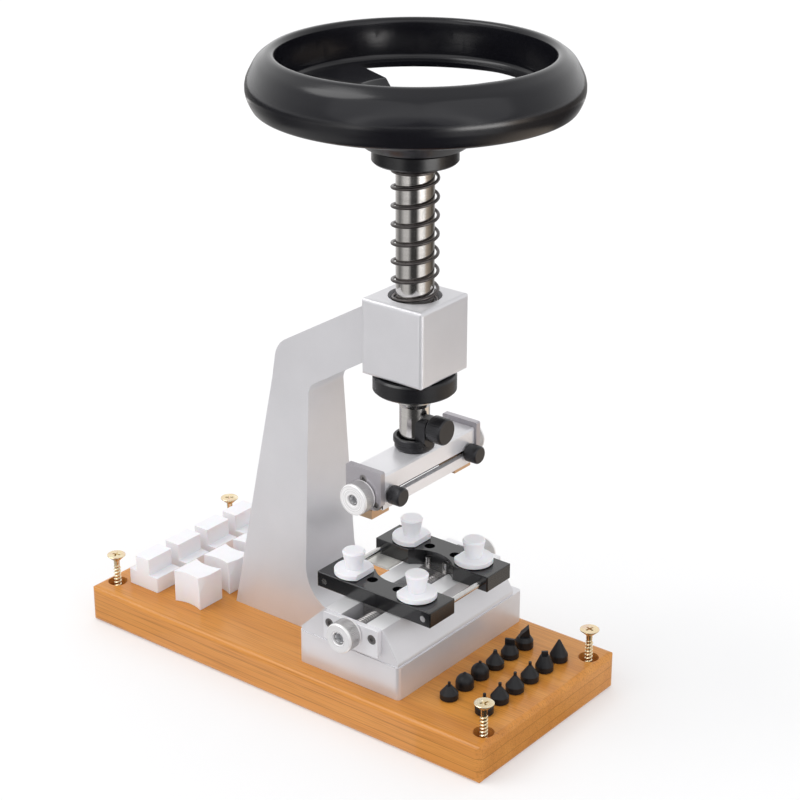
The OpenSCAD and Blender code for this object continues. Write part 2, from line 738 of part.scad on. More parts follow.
module handwheel() {
    inner_r = wheel_r - rim_w;
    window_r = inner_r - 5.9;
    rim_top = rim_lift + rim_h - 0.1;
    web_top = rim_lift + 6.05;
    hub_rim = rim_lift + 1.9;
    lip_h = 1.6;
    under_r = wheel_r - 5;
    flare_r = collar_r + 8.1;
    flare_h = 5.8;
    color(black) translate([spindle_x, 0, hub_z]) difference() {
        rotate_extrude($fn = 128) polygon(rounded_outline([
            [top_thread_r + seat_gap, 0, 0], [collar_r + 0.4, 0, 0], [collar_r + 3.8, 0.8, 1],
            [flare_r, flare_h, 0], [flare_r + 9, 12.5, 4], [wheel_r - 3.2, rim_lift + 0.5, 3],
            [wheel_r + 1.45, rim_lift + 9.5, 12], [wheel_r - 4.5, rim_top - 3.6, 9],
            [inner_r + 3.4, rim_top, 4], [inner_r - 0.2, rim_top, 2.2],
            [inner_r - 0.9, web_top, 2.5],
            [hub_r + 6.5, web_top, 3], [hub_r, hub_rim, 1], [nut_recess_r, hub_rim, 0.8], [nut_recess_r, hub_h, 0],
            [top_thread_r + seat_gap, hub_h, 0]], 5));
        difference() {
            rotate_extrude() polygon([[flare_r, -over], [flare_r, flare_h], [hub_r, hub_rim],
                                      [hub_r, web_top + over], [window_r, web_top + over],
                                      [window_r, web_top - lip_h], [under_r, rim_lift + 1.2], [under_r, -over]]);
            for (i = [0 : 2]) rotate([0, 0, spoke_angle + i * 120]) translate([0, 0, -2 * over])
                linear_extrude(rim_h + rim_lift)
                    polygon([[0, 0], for (side = [-1, 1]) 2 * window_r * [cos(spoke_w / 2), side * sin(spoke_w / 2)]]);
        }
    }
}
nut_recess_r = 13;
wheel_nut_h = 5.5;
wheel_washer_h = 1.2;

module wheel_washer() {
    color(steel) translate([spindle_x, 0, hub_top + seat_gap])
        chamfered_ring(11.5, top_thread_r + seat_gap, wheel_washer_h, 0.2);
}

module wheel_nut() {
    color(steel) translate([spindle_x, 0, hub_top + wheel_washer_h + 2 * seat_gap]) difference() {
        intersection() {
            cylinder(r = 10.4, h = wheel_nut_h, $fn = 6);
            rotate_extrude() polygon([[0, 0], [9.6, 0], [10.4, 0.5], [10.4, wheel_nut_h - 0.7],
                                      [9.2, wheel_nut_h], [0, wheel_nut_h]]);
        }
        translate([0, 0, -over]) cylinder(r = top_thread_r + seat_gap, h = wheel_nut_h + 2 * over);
    }
}

module holder_cup() {
    lug_out = cup_r + 0.2;
    color(black) translate([spindle_x, 0, cup_z]) difference() {
        union() {
            rotate_extrude() polygon([[0, 0], [cup_r - 1.4, 0], [cup_r - 0.6, 1.2], [cup_r - 0.6, cup_floor],
                                      [cup_r, cup_floor + 0.5], [cup_r, cup_h - 0.4], [cup_r - 0.4, cup_h],
                                      [cup_r - cup_wall, cup_h], [cup_r - cup_wall, cup_floor + cup_seat],
                                      [0, cup_floor + cup_seat]]);
            translate([0, 0, (lug_low + lug_h) / 2]) rotate([0, 90, 0]) linear_extrude(lug_out)
                rounded_rect(lug_h - lug_low, lug_w, 3.5);
        }
        translate([0, 0, cup_floor]) cylinder(r = stub_r + seat_gap, h = lug_h);
        translate([0, 0, clamp_up]) along_x(2 + run_clear, 2 * cup_r);
        translate([0, 0, -over]) cylinder(r = bolt_r, h = cup_floor + 2 * over);
    }
}

// The screw that holds the opener bar under the cup, its head sunk in the bar's roof
module holder_bolt() {
    color(steel) translate([spindle_x, 0, channel_top + 0.2]) difference() {
        rotate_extrude() polygon([[0, 0], [4.6, 0], [4.6, 0.4], [bolt_r - seat_gap, 2.55],
                                  [bolt_r - seat_gap, bar_roof + cup_floor - 0.5], [0, bar_roof + cup_floor - 0.5]]);
        translate([0, 0, -over]) cylinder(r = 1.7, h = 1.6 + over, $fn = 6);
    }
}

module opener_bar() {
    color(silver) translate([spindle_x, 0, bar_z]) difference() {
        rotate([90, 0, 0]) linear_extrude(2 * bar_half, center = true)
            polygon([[-bar_w / 2, -bar_skirt], [bar_wall - bar_w / 2, -bar_skirt], [bar_wall - bar_w / 2, 0],
                     [bar_w / 2, 0], [bar_w / 2, bar_h - 0.8], [bar_w / 2 - 0.8, bar_h],
                     [-bar_w / 2 + 0.8, bar_h], [-bar_w / 2, bar_h - 0.8]]);
        translate([-bar_w / 2 + bar_wall, -bar_half - over, -over])
            cube([bar_w - 2 * bar_wall, 2 * (bar_half + over), bar_h - bar_roof + over]);
        translate([0, -bar_half + 2.2, jaw_screw_up - bar_slot_h / 2])
            cube([bar_w, 2 * (bar_half - 2.2), bar_slot_h]);
        translate([0, 0, bar_h - bar_roof - over]) cylinder(r = bolt_r, h = bar_roof + 2 * over);
        translate([0, 0, bar_h - bar_roof - over]) cylinder(r = 4.7, h = over + 0.6);
        translate([0, 0, bar_h - bar_roof + 0.6]) cylinder(r1 = 4.7, r2 = bolt_r, h = 4.7 - bolt_r);
        for (p = end_screw_places, side = [-1, 1])
            translate([p.x, side > 0 ? bar_half - 6 : -bar_half - over, jaw_screw_up + p.y])
                along_y(1.1, 6 + over);
    }
}

// Places of the three screws of an opener end plate, from the jaw screw's axis
end_screw_places = [[0, 7.6], [-7.3, -3.7], [7.3, -3.7]];
end_screw_head_r = 1.9;

// The opener's end plate, seen from outside, with its back on Y = 0 and its front at Y = -thickness
module end_plate() {
    low = -jaw_screw_up + 0.2;
    high = bar_h - jaw_screw_up + end_plate_up;
    half = end_plate_w / 2;
    difference() {
        rotate([90, 0, 0]) linear_extrude(end_plate_t)
            polygon([[-half + 3.2, low], [half - 3.2, low], [half, low + 3.2], [half, high - 0.6],
                     [half - 0.6, high], [-half + 0.6, high], [-half, high - 0.6], [-half, low + 3.2]]);
        translate([0, -end_plate_t - over, 0]) along_y(jaw_screw_r + run_clear, end_plate_t + 2 * over);
        for (p = end_screw_places) translate([p.x, -end_plate_t - over, p.y]) {
            along_y(1.05, end_plate_t + 2 * over);
            along_y(end_screw_head_r + seat_gap, 1.5 + over);
        }
    }
}

module opener_near_plate() {
    color(silver) translate([spindle_x, -bar_half, jaw_z]) end_plate();
}

module opener_far_plate() {
    color(silver) translate([spindle_x, bar_half, jaw_z]) mirror([0, 1, 0]) end_plate();
}

module opener_plate_screws() {
    color(steel) for (side = [-1, 1], p = end_screw_places)
        translate([spindle_x + p.x, side * (bar_half + end_plate_t), jaw_z + p.y])
            rotate([side > 0 ? -90 : 90, 0, 0]) difference() {
                union() {
                    translate([0, 0, -1.5]) cylinder(r = end_screw_head_r, h = 1.4);
                    translate([0, 0, -7]) cylinder(r = 1, h = 6);
                }
                hex_socket(0.9, 0.9);
            }
}

// A thumb screw along +X: its tip at X = 0, then the stem, then the knob
module thumb_screw(stem_r, stem_l, knob_r, knob_l) {
    rotate([0, 90, 0]) rotate_extrude()
        polygon([[0, 0], [stem_r - 0.4, 0], [stem_r, 0.4], [stem_r, stem_l], [knob_r - 0.6, stem_l],
                 [knob_r, stem_l + 0.6], [knob_r, stem_l + knob_l - 0.6], [knob_r - 0.6, stem_l + knob_l],
                 [0, stem_l + knob_l]]);
}

module clamp_screw() {
    reach = cup_r + 0.2 - stub_r + slide_gap;
    color(black) translate([spindle_x + stub_r, 0, clamp_z])
        thumb_screw(2, reach, clamp_knob_r, clamp_knob_l);
}

// A screw along Y with an opposite thread on each half and a hexagonal socket in each end
module double_screw(r, half, socket_r) {
    difference() {
        translate([0, -half, 0]) along_y(r, 2 * half);
        for (side = [-1, 1]) translate([0, side * half, 0]) rotate([side > 0 ? -90 : 90, 0, 0])
            hex_socket(socket_r, 2.5);
    }
}

// A knob on the end of a screw along Y, its inner face at Y = 0 and its outer face at Y = length
module screw_knob(r, l, bore_r) {
    rotate([-90, 0, 0]) difference() {
        chamfered_ring(r, bore_r, l, 0.5);
        translate([0, 0, l * 0.45]) along_x(1.25, r + over);
    }
}

opener_knob_y = bar_half + end_plate_t + slide_gap;

module jaw_screw() {
    color(steel) translate([spindle_x, 0, jaw_z])
        double_screw(jaw_screw_r, opener_knob_y + opener_knob_l - 1, 1.6);
}

module opener_near_knob() {
    color(silver) translate([spindle_x, -opener_knob_y, jaw_z]) mirror([0, 1, 0])
        screw_knob(opener_knob_r, opener_knob_l, jaw_screw_r + seat_gap);
}

module opener_far_knob() {
    color(silver) translate([spindle_x, opener_knob_y, jaw_z])
        screw_knob(opener_knob_r, opener_knob_l, jaw_screw_r + seat_gap);
}

// Grub screws that hold two knobs on their screw
module knob_screws(knob_y, l, knob_r, screw_r) {
    for (side = [-1, 1]) translate([screw_r + 0.1, side * (knob_y + l * 0.45), 0]) difference() {
        along_x(1.2, knob_r - screw_r - 0.9);
        translate([knob_r - screw_r - 2.4, 0, 0]) rotate([0, 90, 0]) cylinder(r = 0.7, h = 3, $fn = 6);
    }
}

module opener_knob_screws() {
    color(steel) translate([spindle_x, 0, jaw_z])
        knob_screws(opener_knob_y, opener_knob_l, opener_knob_r, jaw_screw_r);
}

// The near jaw about the jaw screw's axis, at its fully open place
module jaw() {
    body_w = bar_w - 2 * bar_wall - 0.8;
    foot_top = -jaw_screw_up - slide_gap;
    foot_z = -jaw_screw_up - jaw_foot_h;
    body_top = channel_top - jaw_z - 0.6;
    difference() {
        union() {
            translate([-body_w / 2, -jaw_l / 2, foot_top - over]) cube([body_w, jaw_l, body_top - foot_top + over]);
            translate([-jaw_foot_w / 2, -jaw_foot_reach, foot_z])
                cube([jaw_foot_w, jaw_foot_reach + jaw_l / 2, foot_top - foot_z]);
        }
        translate([0, -jaw_l / 2 - over, 0]) along_y(jaw_screw_r + run_clear, jaw_l + 2 * over);
        along_x(jaw_stem_r + run_clear, body_w);
        translate([0, -jaw_foot_reach + 3.2, foot_z - over])
            cylinder(r = bit_stem_r + 0.1, h = foot_top - foot_z + over);
    }
}
jaw_stem_r = 1.3;

module near_jaw() {
    color(brass) translate([spindle_x, -jaw_open, jaw_z]) jaw();
}

module far_jaw() {
    color(brass) translate([spindle_x, jaw_open, jaw_z]) mirror([0, 1, 0]) jaw();
}

// The thumb screw that locks a jaw to the bar
module jaw_lock(y) {
    start = jaw_screw_r + 0.6;
    color(black) translate([spindle_x + start, y, jaw_z])
        thumb_screw(jaw_stem_r, bar_w / 2 + 0.4 - start, jaw_knob_r, jaw_knob_l);
}

module near_jaw_thumb_screw() {
    jaw_lock(-jaw_open);
}

module far_jaw_thumb_screw() {
    jaw_lock(jaw_open);
}

vise_knob_y = bed_half + vise_plate_t + slide_gap;

module vise_screw() {
    color(steel) translate([spindle_x, 0, vise_z])
        double_screw(vise_screw_r, vise_knob_y + vise_knob_l - 1.2, 2);
}

module vise_near_knob() {
    color(silver) translate([spindle_x, -vise_knob_y, vise_z]) mirror([0, 1, 0])
        screw_knob(vise_knob_r, vise_knob_l, vise_screw_r + seat_gap);
}

module vise_far_knob() {
    color(silver) translate([spindle_x, vise_knob_y, vise_z])
        screw_knob(vise_knob_r, vise_knob_l, vise_screw_r + seat_gap);
}

module vise_knob_screws() {
    color(steel) translate([spindle_x, 0, vise_z])
        knob_screws(vise_knob_y, vise_knob_l, vise_knob_r, vise_screw_r);
}

// The near vise block about the spindle; the rods sit tight in the near one and run in the far one
module vise_block(rod_hole_r) {
    rod_z = block_h * 0.46;
    translate([0, 0, block_z]) difference() {
        translate([0, -block_y, 0]) soft_block(block_l, block_w, block_h, 0.8, 0.5);
        translate([0, 0, -over]) cylinder(r = recess_r, h = block_h + 2 * over, $fn = 96);
        for (x = [-peg_x, -spare_hole_x, spare_hole_x, peg_x]) translate([x, -block_y, -over])
            cylinder(r = peg_hole_r, h = block_h + 2 * over);
        for (x = [-rod_x, rod_x]) translate([x, -block_y - block_w, rod_z]) along_y(rod_hole_r, 2 * block_w);
        for (x = [-nut_screw_x, nut_screw_x], y = [-nut_screw_y, nut_screw_y])
            translate([x, -block_y + y, -over]) cylinder(r = nut_screw_r + seat_gap, h = 5 + over);
    }
}

module near_vise_block() {
    color(black) translate([spindle_x, 0, 0]) vise_block(rod_r + 0.02);
}

module far_vise_block() {
    color(black) difference() {
        translate([spindle_x, 0, 0]) mirror([0, 1, 0]) vise_block(rod_r + run_clear);
        for (y = plate_hole_y) translate([plate_hole_x, y, block_z - over]) cylinder(r = 1.25, h = 4 + over);
    }
}

// A thin plate screwed under the far block, beside the vise bed
module far_slide_plate() {
    color(steel) difference() {
        translate([plate_left, slide_plate_y, block_z - seat_gap - slide_plate_t])
            cube([plate_right - plate_left, block_y + 8 - slide_plate_y, slide_plate_t]);
        for (y = plate_hole_y) translate([plate_hole_x, y, block_z - slide_plate_t - over])
            cylinder(r = 1.3, h = slide_plate_t + 2 * over);
    }
}

// The two screws that hold the slide plate to the far block
module slide_plate_screws() {
    color(steel) for (y = plate_hole_y)
        translate([plate_hole_x, y, block_z - slide_plate_t - seat_gap]) difference() {
            union() {
                translate([0, 0, -0.9]) cylinder(r = 2, h = 0.85);
                translate([0, 0, -0.1]) cylinder(r = 1.2, h = slide_plate_t + 4);
            }
            translate([0, 0, -over - 0.4]) cylinder(r = 0.7, h = over, $fn = 6);
        }
}

module guide_rods() {
    start = -block_gap - block_w + 0.1;
    color(steel) for (x = [-rod_x, rod_x])
        translate([spindle_x + x, start, block_z + block_h * 0.46])
            along_y(rod_r, 2 * block_gap + 2 * block_w + rod_out - 0.1);
}

// The nut under the near vise block, which rides in the bed's slot
module vise_nut() {
    translate([0, -block_y, block_z - nut_h]) difference() {
        translate([-nut_w / 2, -nut_l / 2, 0]) cube([nut_w, nut_l, nut_h]);
        translate([0, -nut_l / 2 - over, vise_z - block_z + nut_h]) along_y(vise_screw_r + run_clear, nut_l + 2 * over);
        for (x = [-nut_screw_x, nut_screw_x], y = [-nut_screw_y, nut_screw_y]) translate([x, y, -over]) {
            cylinder(r = nut_screw_r + seat_gap, h = nut_h + 2 * over);
            cylinder(r = 1.8 + seat_gap, h = 1.6 + over);
        }
    }
}

module nut_screws() {
    for (x = [-nut_screw_x, nut_screw_x], y = [-nut_screw_y, nut_screw_y])
        translate([x, -block_y + y, block_z - nut_h]) difference() {
            union() {
                cylinder(r = nut_screw_r, h = nut_h + 4.5);
                cylinder(r = 1.8, h = 1.5);
            }
            translate([0, 0, -over]) cylinder(r = 0.9, h = 1 + over, $fn = 6);
        }
}

module near_vise_nut() {
    color(steel) translate([spindle_x, 0, 0]) vise_nut();
}

module far_vise_nut() {
    color(steel) translate([spindle_x, 0, 0]) mirror([0, 1, 0]) vise_nut();
}

module near_nut_screws() {
    color(steel) translate([spindle_x, 0, 0]) nut_screws();
}

module far_nut_screws() {
    color(steel) translate([spindle_x, 0, 0]) mirror([0, 1, 0]) nut_screws();
}

// A peg standing in its hole: stem, flange with one flat, and a body that widens upwards
module peg(side_x, side_y, flat_angle) {
    stem_r = peg_hole_r - run_clear;
    color(nylon) translate([spindle_x + side_x * peg_x, side_y * block_y, block_top]) {
        rotate_extrude() polygon([[0, -block_h + 0.4], [stem_r, -block_h + 0.4], [stem_r, slide_gap + 1],
                                  [peg_foot_r, slide_gap + 1], [peg_foot_r, slide_gap + peg_flange_h],
                                  [peg_top_r - 0.3, peg_h - 2], [peg_top_r, peg_h - 0.8],
                                  [peg_top_r - 0.7, peg_h], [0, peg_h]]);
        difference() {
            translate([0, 0, slide_gap]) chamfered_ring(peg_flange_r, 0, peg_flange_h, 0.4);
            rotate([0, 0, flat_angle]) translate([peg_flat, -peg_flange_r, 0])
                cube([peg_flange_r, 2 * peg_flange_r, peg_flange_h + 2 * over]);
        }
    }
}

module near_left_peg() {
    peg(-1, -1, 0);
}

module near_right_peg() {
    peg(1, -1, 180);
}

module far_left_peg() {
    peg(-1, 1, 0);
}

module far_right_peg() {
    peg(1, 1, 180);
}

wood_base();
frame_casting();
spindle_bush();
base_bolts();
base_washers();
wood_screws();
pin_bits();
flat_pin_bit();
dome_bits();
chisel_bit();
claw_bit();
cone_bit();
step_blocks();
groove_blocks();
vise_near_plate();
vise_far_plate();
vise_plate_screws();
return_spring();
spring_washer();
spindle_shaft();
upper_collar();
lower_collar();
collar_screws();
handwheel();
wheel_washer();
wheel_nut();
holder_cup();
holder_bolt();
opener_bar();
opener_near_plate();
opener_far_plate();
opener_plate_screws();
clamp_screw();
jaw_screw();
opener_near_knob();
opener_far_knob();
opener_knob_screws();
near_jaw();
far_jaw();
near_jaw_thumb_screw();
far_jaw_thumb_screw();
vise_screw();
vise_near_knob();
vise_far_knob();
vise_knob_screws();
near_vise_block();
near_vise_nut();
near_nut_screws();
guide_rods();
far_vise_block();
far_slide_plate();
slide_plate_screws();
far_vise_nut();
far_nut_screws();
near_left_peg();
near_right_peg();
far_left_peg();
far_right_peg();
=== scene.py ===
"""Looks of the bench case opener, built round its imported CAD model.

X runs along the base, Y across it and Z up. Sizes of pieces are in millimetres, and MM
turns them into the scene's metres. Sizes in the shaders and the studio are in metres.
"""
import math
from contextlib import contextmanager

import bmesh
import bpy
from mathutils import Matrix, Vector


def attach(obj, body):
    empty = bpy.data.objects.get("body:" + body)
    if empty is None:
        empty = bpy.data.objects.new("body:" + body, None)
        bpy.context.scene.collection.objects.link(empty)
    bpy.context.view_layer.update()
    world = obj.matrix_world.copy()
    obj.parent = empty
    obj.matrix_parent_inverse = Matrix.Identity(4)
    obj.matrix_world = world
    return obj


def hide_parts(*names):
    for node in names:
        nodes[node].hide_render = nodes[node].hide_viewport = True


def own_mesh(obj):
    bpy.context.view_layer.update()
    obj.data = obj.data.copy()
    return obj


MM = 0.001
TAU = 2 * math.pi
QUARTER = math.radians(90)
FLOAT, VECTOR = "NodeSocketFloat", "NodeSocketVector"

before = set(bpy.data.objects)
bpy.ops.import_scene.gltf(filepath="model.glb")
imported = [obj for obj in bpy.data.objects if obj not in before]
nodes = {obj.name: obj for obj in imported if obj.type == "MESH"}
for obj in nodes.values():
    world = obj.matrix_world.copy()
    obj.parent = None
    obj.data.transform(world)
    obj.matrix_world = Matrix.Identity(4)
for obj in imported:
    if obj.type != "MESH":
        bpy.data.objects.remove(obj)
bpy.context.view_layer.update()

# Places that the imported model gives, in millimetres
SPINDLE_X = 42.0        # the spindle's axis, and the middle of both screws
JAW_SCREW_Z = 110.7
VISE_SCREW_Z = 46.3
GUIDE_ROD_Z = 55.5
CLAMP_Z = 132.7
JAW_Y = 28.4
DECK_Z = 18.6           # top of the wooden base
BED_Z = 51.7            # top of the vise bed
STUB_R = 6.9            # radius of the spindle's thinner end


# ---------------------------------------------------------------- node helpers

def add(tree, kind, sockets=None, **settings):
    """A node with its settings and its sockets, each a value or another node's output."""
    made = tree.nodes.new(kind)
    for key, value in settings.items():
        setattr(made, key, value)
    for key, value in (sockets or {}).items():
        if isinstance(value, bpy.types.NodeSocket):
            tree.links.new(value, made.inputs[key])
        else:
            made.inputs[key].default_value = value
    return made


def maths(tree, operation, a, b=0.0, clamp=False):
    made = add(tree, "ShaderNodeMath", {0: a, 1: b}, operation=operation, use_clamp=clamp)
    return made.outputs[0]


def linear(tree, value, factor, start):
    """The value times a factor, plus a start."""
    return maths(tree, "ADD", maths(tree, "MULTIPLY", value, factor), start)


def vectors(tree, operation, a, b=(0, 0, 0), output="Vector"):
    made = add(tree, "ShaderNodeVectorMath", {0: a, 1: b}, operation=operation)
    return made.outputs[output]


def parts(tree, vector):
    """The X, Y and Z of a vector."""
    return add(tree, "ShaderNodeSeparateXYZ", {"Vector": vector}).outputs


def joined(tree, x, y, z):
    return add(tree, "ShaderNodeCombineXYZ", {"X": x, "Y": y, "Z": z}).outputs[0]


def mapped(tree, vector, **sockets):
    """A vector that is moved, turned or scaled: Location, Rotation or Scale."""
    return add(tree, "ShaderNodeMapping", {"Vector": vector, **sockets}).outputs[0]


def mix_colour(tree, factor, a, b, blend="MIX"):
    made = add(tree, "ShaderNodeMix", {0: factor, 6: a, 7: b}, data_type="RGBA",
               blend_type=blend)
    return made.outputs[2]


def grey(tone):
    return (tone, tone, tone, 1)


def ramp(tree, factor, stops):
    """A colour ramp with its stops as (place, colour)."""
    made = add(tree, "ShaderNodeValToRGB", {"Fac": factor})
    band = made.color_ramp
    while len(band.elements) < len(stops):
        band.elements.new(0.5)
    for element, (place, colour) in zip(band.elements, stops):
        element.position = place
        element.color = colour
    return made.outputs["Color"]


def rise(tree, factor, start, end):
    """A mask that rises from 0 to 1 between two values of the factor."""
    return ramp(tree, factor, [(start, grey(0)), (end, grey(1))])


def noise(tree, vector, scale, detail, roughness=0.5, distortion=0.0):
    sockets = {"Vector": vector, "Scale": scale, "Detail": detail, "Roughness": roughness,
               "Distortion": distortion}
    return add(tree, "ShaderNodeTexNoise", sockets).outputs["Fac"]


def object_place(tree):
    return add(tree, "ShaderNodeTexCoord").outputs["Object"]


def bump(tree, height, distance):
    return add(tree, "ShaderNodeBump", {"Height": height, "Distance": distance,
                                        "Strength": 1.0}).outputs["Normal"]


def new_finish(name):
    """An empty material and its node tree."""
    finish = bpy.data.materials.new(name)
    finish.use_nodes = True
    tree = finish.node_tree
    tree.nodes.clear()
    return finish, tree


def shade(tree, colour, rough, **more):
    """A Principled shader with its output. Extra sockets go by name, with _ for a space."""
    sockets = {"Base Color": colour, "Roughness": rough}
    sockets.update({key.replace("_", " "): value for key, value in more.items()})
    shader = add(tree, "ShaderNodeBsdfPrincipled", sockets)
    add(tree, "ShaderNodeOutputMaterial", {"Surface": shader.outputs[0]})


# ---------------------------------------------------------------- shader groups

def new_group(name, inputs, outputs):
    """A shader node group, with its inputs as (name, type, default) and outputs by name."""
    group = bpy.data.node_groups.new(name, "ShaderNodeTree")
    for title, kind, default in inputs:
        socket = group.interface.new_socket(name=title, in_out="INPUT", socket_type=kind)
        if default is not None:
            socket.default_value = default
    for title in outputs:
        group.interface.new_socket(name=title, in_out="OUTPUT", socket_type=FLOAT)
    start = group.nodes.new("NodeGroupInput")
    end = group.nodes.new("NodeGroupOutput")
    return group, start.outputs, end.inputs


def fine_skin_group():
    """Orange peel of a sprayed or moulded surface: its height, fine flecks and wide patches."""
    group, given, out = new_group(
        "fine_skin",
        [("Vector", VECTOR, None), ("Grain", FLOAT, 900.0), ("Patch", FLOAT, 40.0)],
        ["Height", "Fleck", "Patches"])
    place = given["Vector"]
    group.links.new(noise(group, place, given["Grain"], 2.0), out["Height"])
    finer = maths(group, "MULTIPLY", given["Grain"], 3.1)
    centred = maths(group, "SUBTRACT", noise(group, place, finer, 1.0), 0.5)
    group.links.new(maths(group, "MULTIPLY", centred, 2.0), out["Fleck"])
    group.links.new(noise(group, place, given["Patch"], 4.0, 0.6), out["Patches"])
    return group


def turned_group():
    """Rings that a lathe leaves round Z, by height and by radius: fine ones and wide ones."""
    group, given, out = new_group(
        "turned_marks", [("Vector", VECTOR, None), ("Pitch", FLOAT, 0.0003)],
        ["Height", "Mask"])
    split = parts(group, given["Vector"])
    squares = maths(group, "ADD", maths(group, "MULTIPLY", split["X"], split["X"]),
                    maths(group, "MULTIPLY", split["Y"], split["Y"]))
    spot = joined(group, maths(group, "SQRT", squares), split["Z"], 0.0)
    rate = maths(group, "DIVIDE", 1.0, given["Pitch"])
    group.links.new(noise(group, spot, rate, 2.0, 0.6), out["Height"])
    wider = maths(group, "MULTIPLY", rate, 0.17)
    group.links.new(noise(group, spot, wider, 3.0, 0.6), out["Mask"])
    return group


def drawn_group():
    """Long fine lines along X, as on drawn or brushed metal."""
    group, given, out = new_group(
        "drawn_lines", [("Vector", VECTOR, None), ("Fineness", FLOAT, 1.0)],
        ["Height", "Mask"])
    fine = mapped(group, given["Vector"], Scale=(60.0, 3600.0, 3600.0))
    group.links.new(noise(group, fine, given["Fineness"], 3.0, 0.6), out["Height"])
    wide = mapped(group, given["Vector"], Scale=(8.0, 260.0, 260.0))
    group.links.new(noise(group, wide, given["Fineness"], 2.0), out["Mask"])
    return group


def wood_group():
    """Straight grain along X in glued strips: figure, pores, each strip's tone, the joints."""
    group, given, out = new_group(
        "straight_grain", [("Vector", VECTOR, None), ("Strip height", FLOAT, 0.0062)],
        ["Figure", "Pores", "Strip", "Joint"])
    level = maths(group, "DIVIDE", parts(group, given["Vector"])["Z"], given["Strip height"])
    strip = add(group, "ShaderNodeTexWhiteNoise", {"W": maths(group, "FLOOR", level)},
                noise_dimensions="1D").outputs["Value"]
    group.links.new(strip, out["Strip"])
    centred = maths(group, "SUBTRACT", maths(group, "FRACT", level), 0.5)
    edge = maths(group, "ABSOLUTE", centred)
    group.links.new(rise(group, edge, 0.465, 0.495), out["Joint"])
    shift = joined(group, maths(group, "MULTIPLY", strip, 0.4),
                   maths(group, "MULTIPLY", strip, 1.3), 0.0)
    place = vectors(group, "ADD", given["Vector"], shift)
    figure_place = mapped(group, place, Scale=(3.2, 62.0, 62.0))
    group.links.new(noise(group, figure_place, 1.0, 5.0, 0.55, 0.6), out["Figure"])
    pore_place = mapped(group, place, Scale=(26.0, 1500.0, 1500.0))
    group.links.new(noise(group, pore_place, 1.0, 3.0, 0.6), out["Pores"])
    return group


GROUPS = {"fine_skin": fine_skin_group(), "turned_marks": turned_group(),
          "drawn_lines": drawn_group(), "straight_grain": wood_group()}


def use(tree, name, **sockets):
    """The outputs of a shader group, with _ for a space in the names of its inputs."""
    given = {key.replace("_", " "): value for key, value in sockets.items()}
    return add(tree, "ShaderNodeGroup", given, node_tree=GROUPS[name]).outputs


# ---------------------------------------------------------------- finishes

def varnished_wood():
    """Varnished wood in glued strips: warm figure on top, paler and seamed on the sides."""
    finish, tree = new_finish("varnished_wood")
    wood = use(tree, "straight_grain", Vector=object_place(tree), Strip_height=0.0062)
    tone = ramp(tree, wood["Figure"], [(0.28, (0.48, 0.160, 0.013, 1)),
                                       (0.50, (0.64, 0.255, 0.030, 1)),
                                       (0.72, (0.76, 0.345, 0.068, 1))])
    facing = parts(tree, add(tree, "ShaderNodeNewGeometry").outputs["Normal"])
    upright = maths(tree, "SUBTRACT", 1.0, maths(tree, "ABSOLUTE", facing["Z"]))
    sawn = mix_colour(tree, maths(tree, "MULTIPLY", upright, 0.55), tone,
                      (0.66, 0.295, 0.085, 1))
    strip = mix_colour(tree, maths(tree, "MULTIPLY", wood["Strip"], 0.35), sawn,
                       (0.66, 0.275, 0.070, 1))
    pores = ramp(tree, wood["Pores"], [(0.34, (0.55, 0.50, 0.45, 1)), (0.52, grey(1))])
    fine = mix_colour(tree, 0.5, strip, pores, "MULTIPLY")
    seam = maths(tree, "MULTIPLY", maths(tree, "MULTIPLY", wood["Joint"], upright), 0.6)
    colour = mix_colour(tree, seam, fine, (0.20, 0.060, 0.012, 1))
    shade(tree, colour, linear(tree, wood["Figure"], 0.12, 0.30),
          Normal=bump(tree, wood["Pores"], 0.00002), Specular_IOR_Level=0.25,
          Coat_Weight=0.30, Coat_Roughness=0.15)
    return finish


def sprayed(name, base, rough, metal, grain=1400.0, depth=0.00002):
    """Silver paint or fine satin metal: soft patches, small pale flecks and orange peel."""
    finish, tree = new_finish(name)
    skin = use(tree, "fine_skin", Vector=object_place(tree), Grain=grain, Patch=28.0)
    dark = tuple(v * 0.90 for v in base) + (1,)
    light = tuple(min(1, v * 1.06) for v in base) + (1,)
    colour = mix_colour(tree, skin["Patches"], dark, light)
    flecks = maths(tree, "MULTIPLY", skin["Fleck"], 0.22, True)
    sparkle = mix_colour(tree, flecks, colour, (0.95, 0.95, 0.97, 1))
    shade(tree, sparkle, linear(tree, skin["Patches"], 0.10, rough - 0.05), Metallic=metal,
          Normal=bump(tree, skin["Height"], depth))
    return finish


def patchy(name, grain, patch, dark, light, rough, spread, depth, **more):
    """A surface whose colour and roughness change in patches, with a fine skin."""
    finish, tree = new_finish(name)
    skin = use(tree, "fine_skin", Vector=object_place(tree), Grain=grain, Patch=patch)
    colour = mix_colour(tree, skin["Patches"], dark + (1,), light + (1,))
    shade(tree, colour, linear(tree, skin["Patches"], spread, rough),
          Normal=bump(tree, skin["Height"], depth), **more)
    return finish


def turned_metal(name, base, centre, axis, rough, metal=1.0, depth=0.000006, spread=0.12,
                 contrast=0.18):
    """Metal turned about the axis Y or Z through a point in millimetres."""
    finish, tree = new_finish(name)
    moved = mapped(tree, object_place(tree), Location=tuple(-v * MM for v in centre))
    turns = {"Y": (QUARTER, 0, 0), "Z": (0, 0, 0)}
    lined = mapped(tree, moved, Rotation=turns[axis])
    marks = use(tree, "turned_marks", Vector=lined, Pitch=0.0003)
    dark = tuple(v * (1 - contrast) for v in base) + (1,)
    light = tuple(min(1, v * 1.05) for v in base) + (1,)
    colour = mix_colour(tree, marks["Mask"], dark, light)
    shade(tree, colour, linear(tree, marks["Mask"], spread, rough - spread / 2),
          Metallic=metal, Normal=bump(tree, marks["Height"], depth))
    return finish


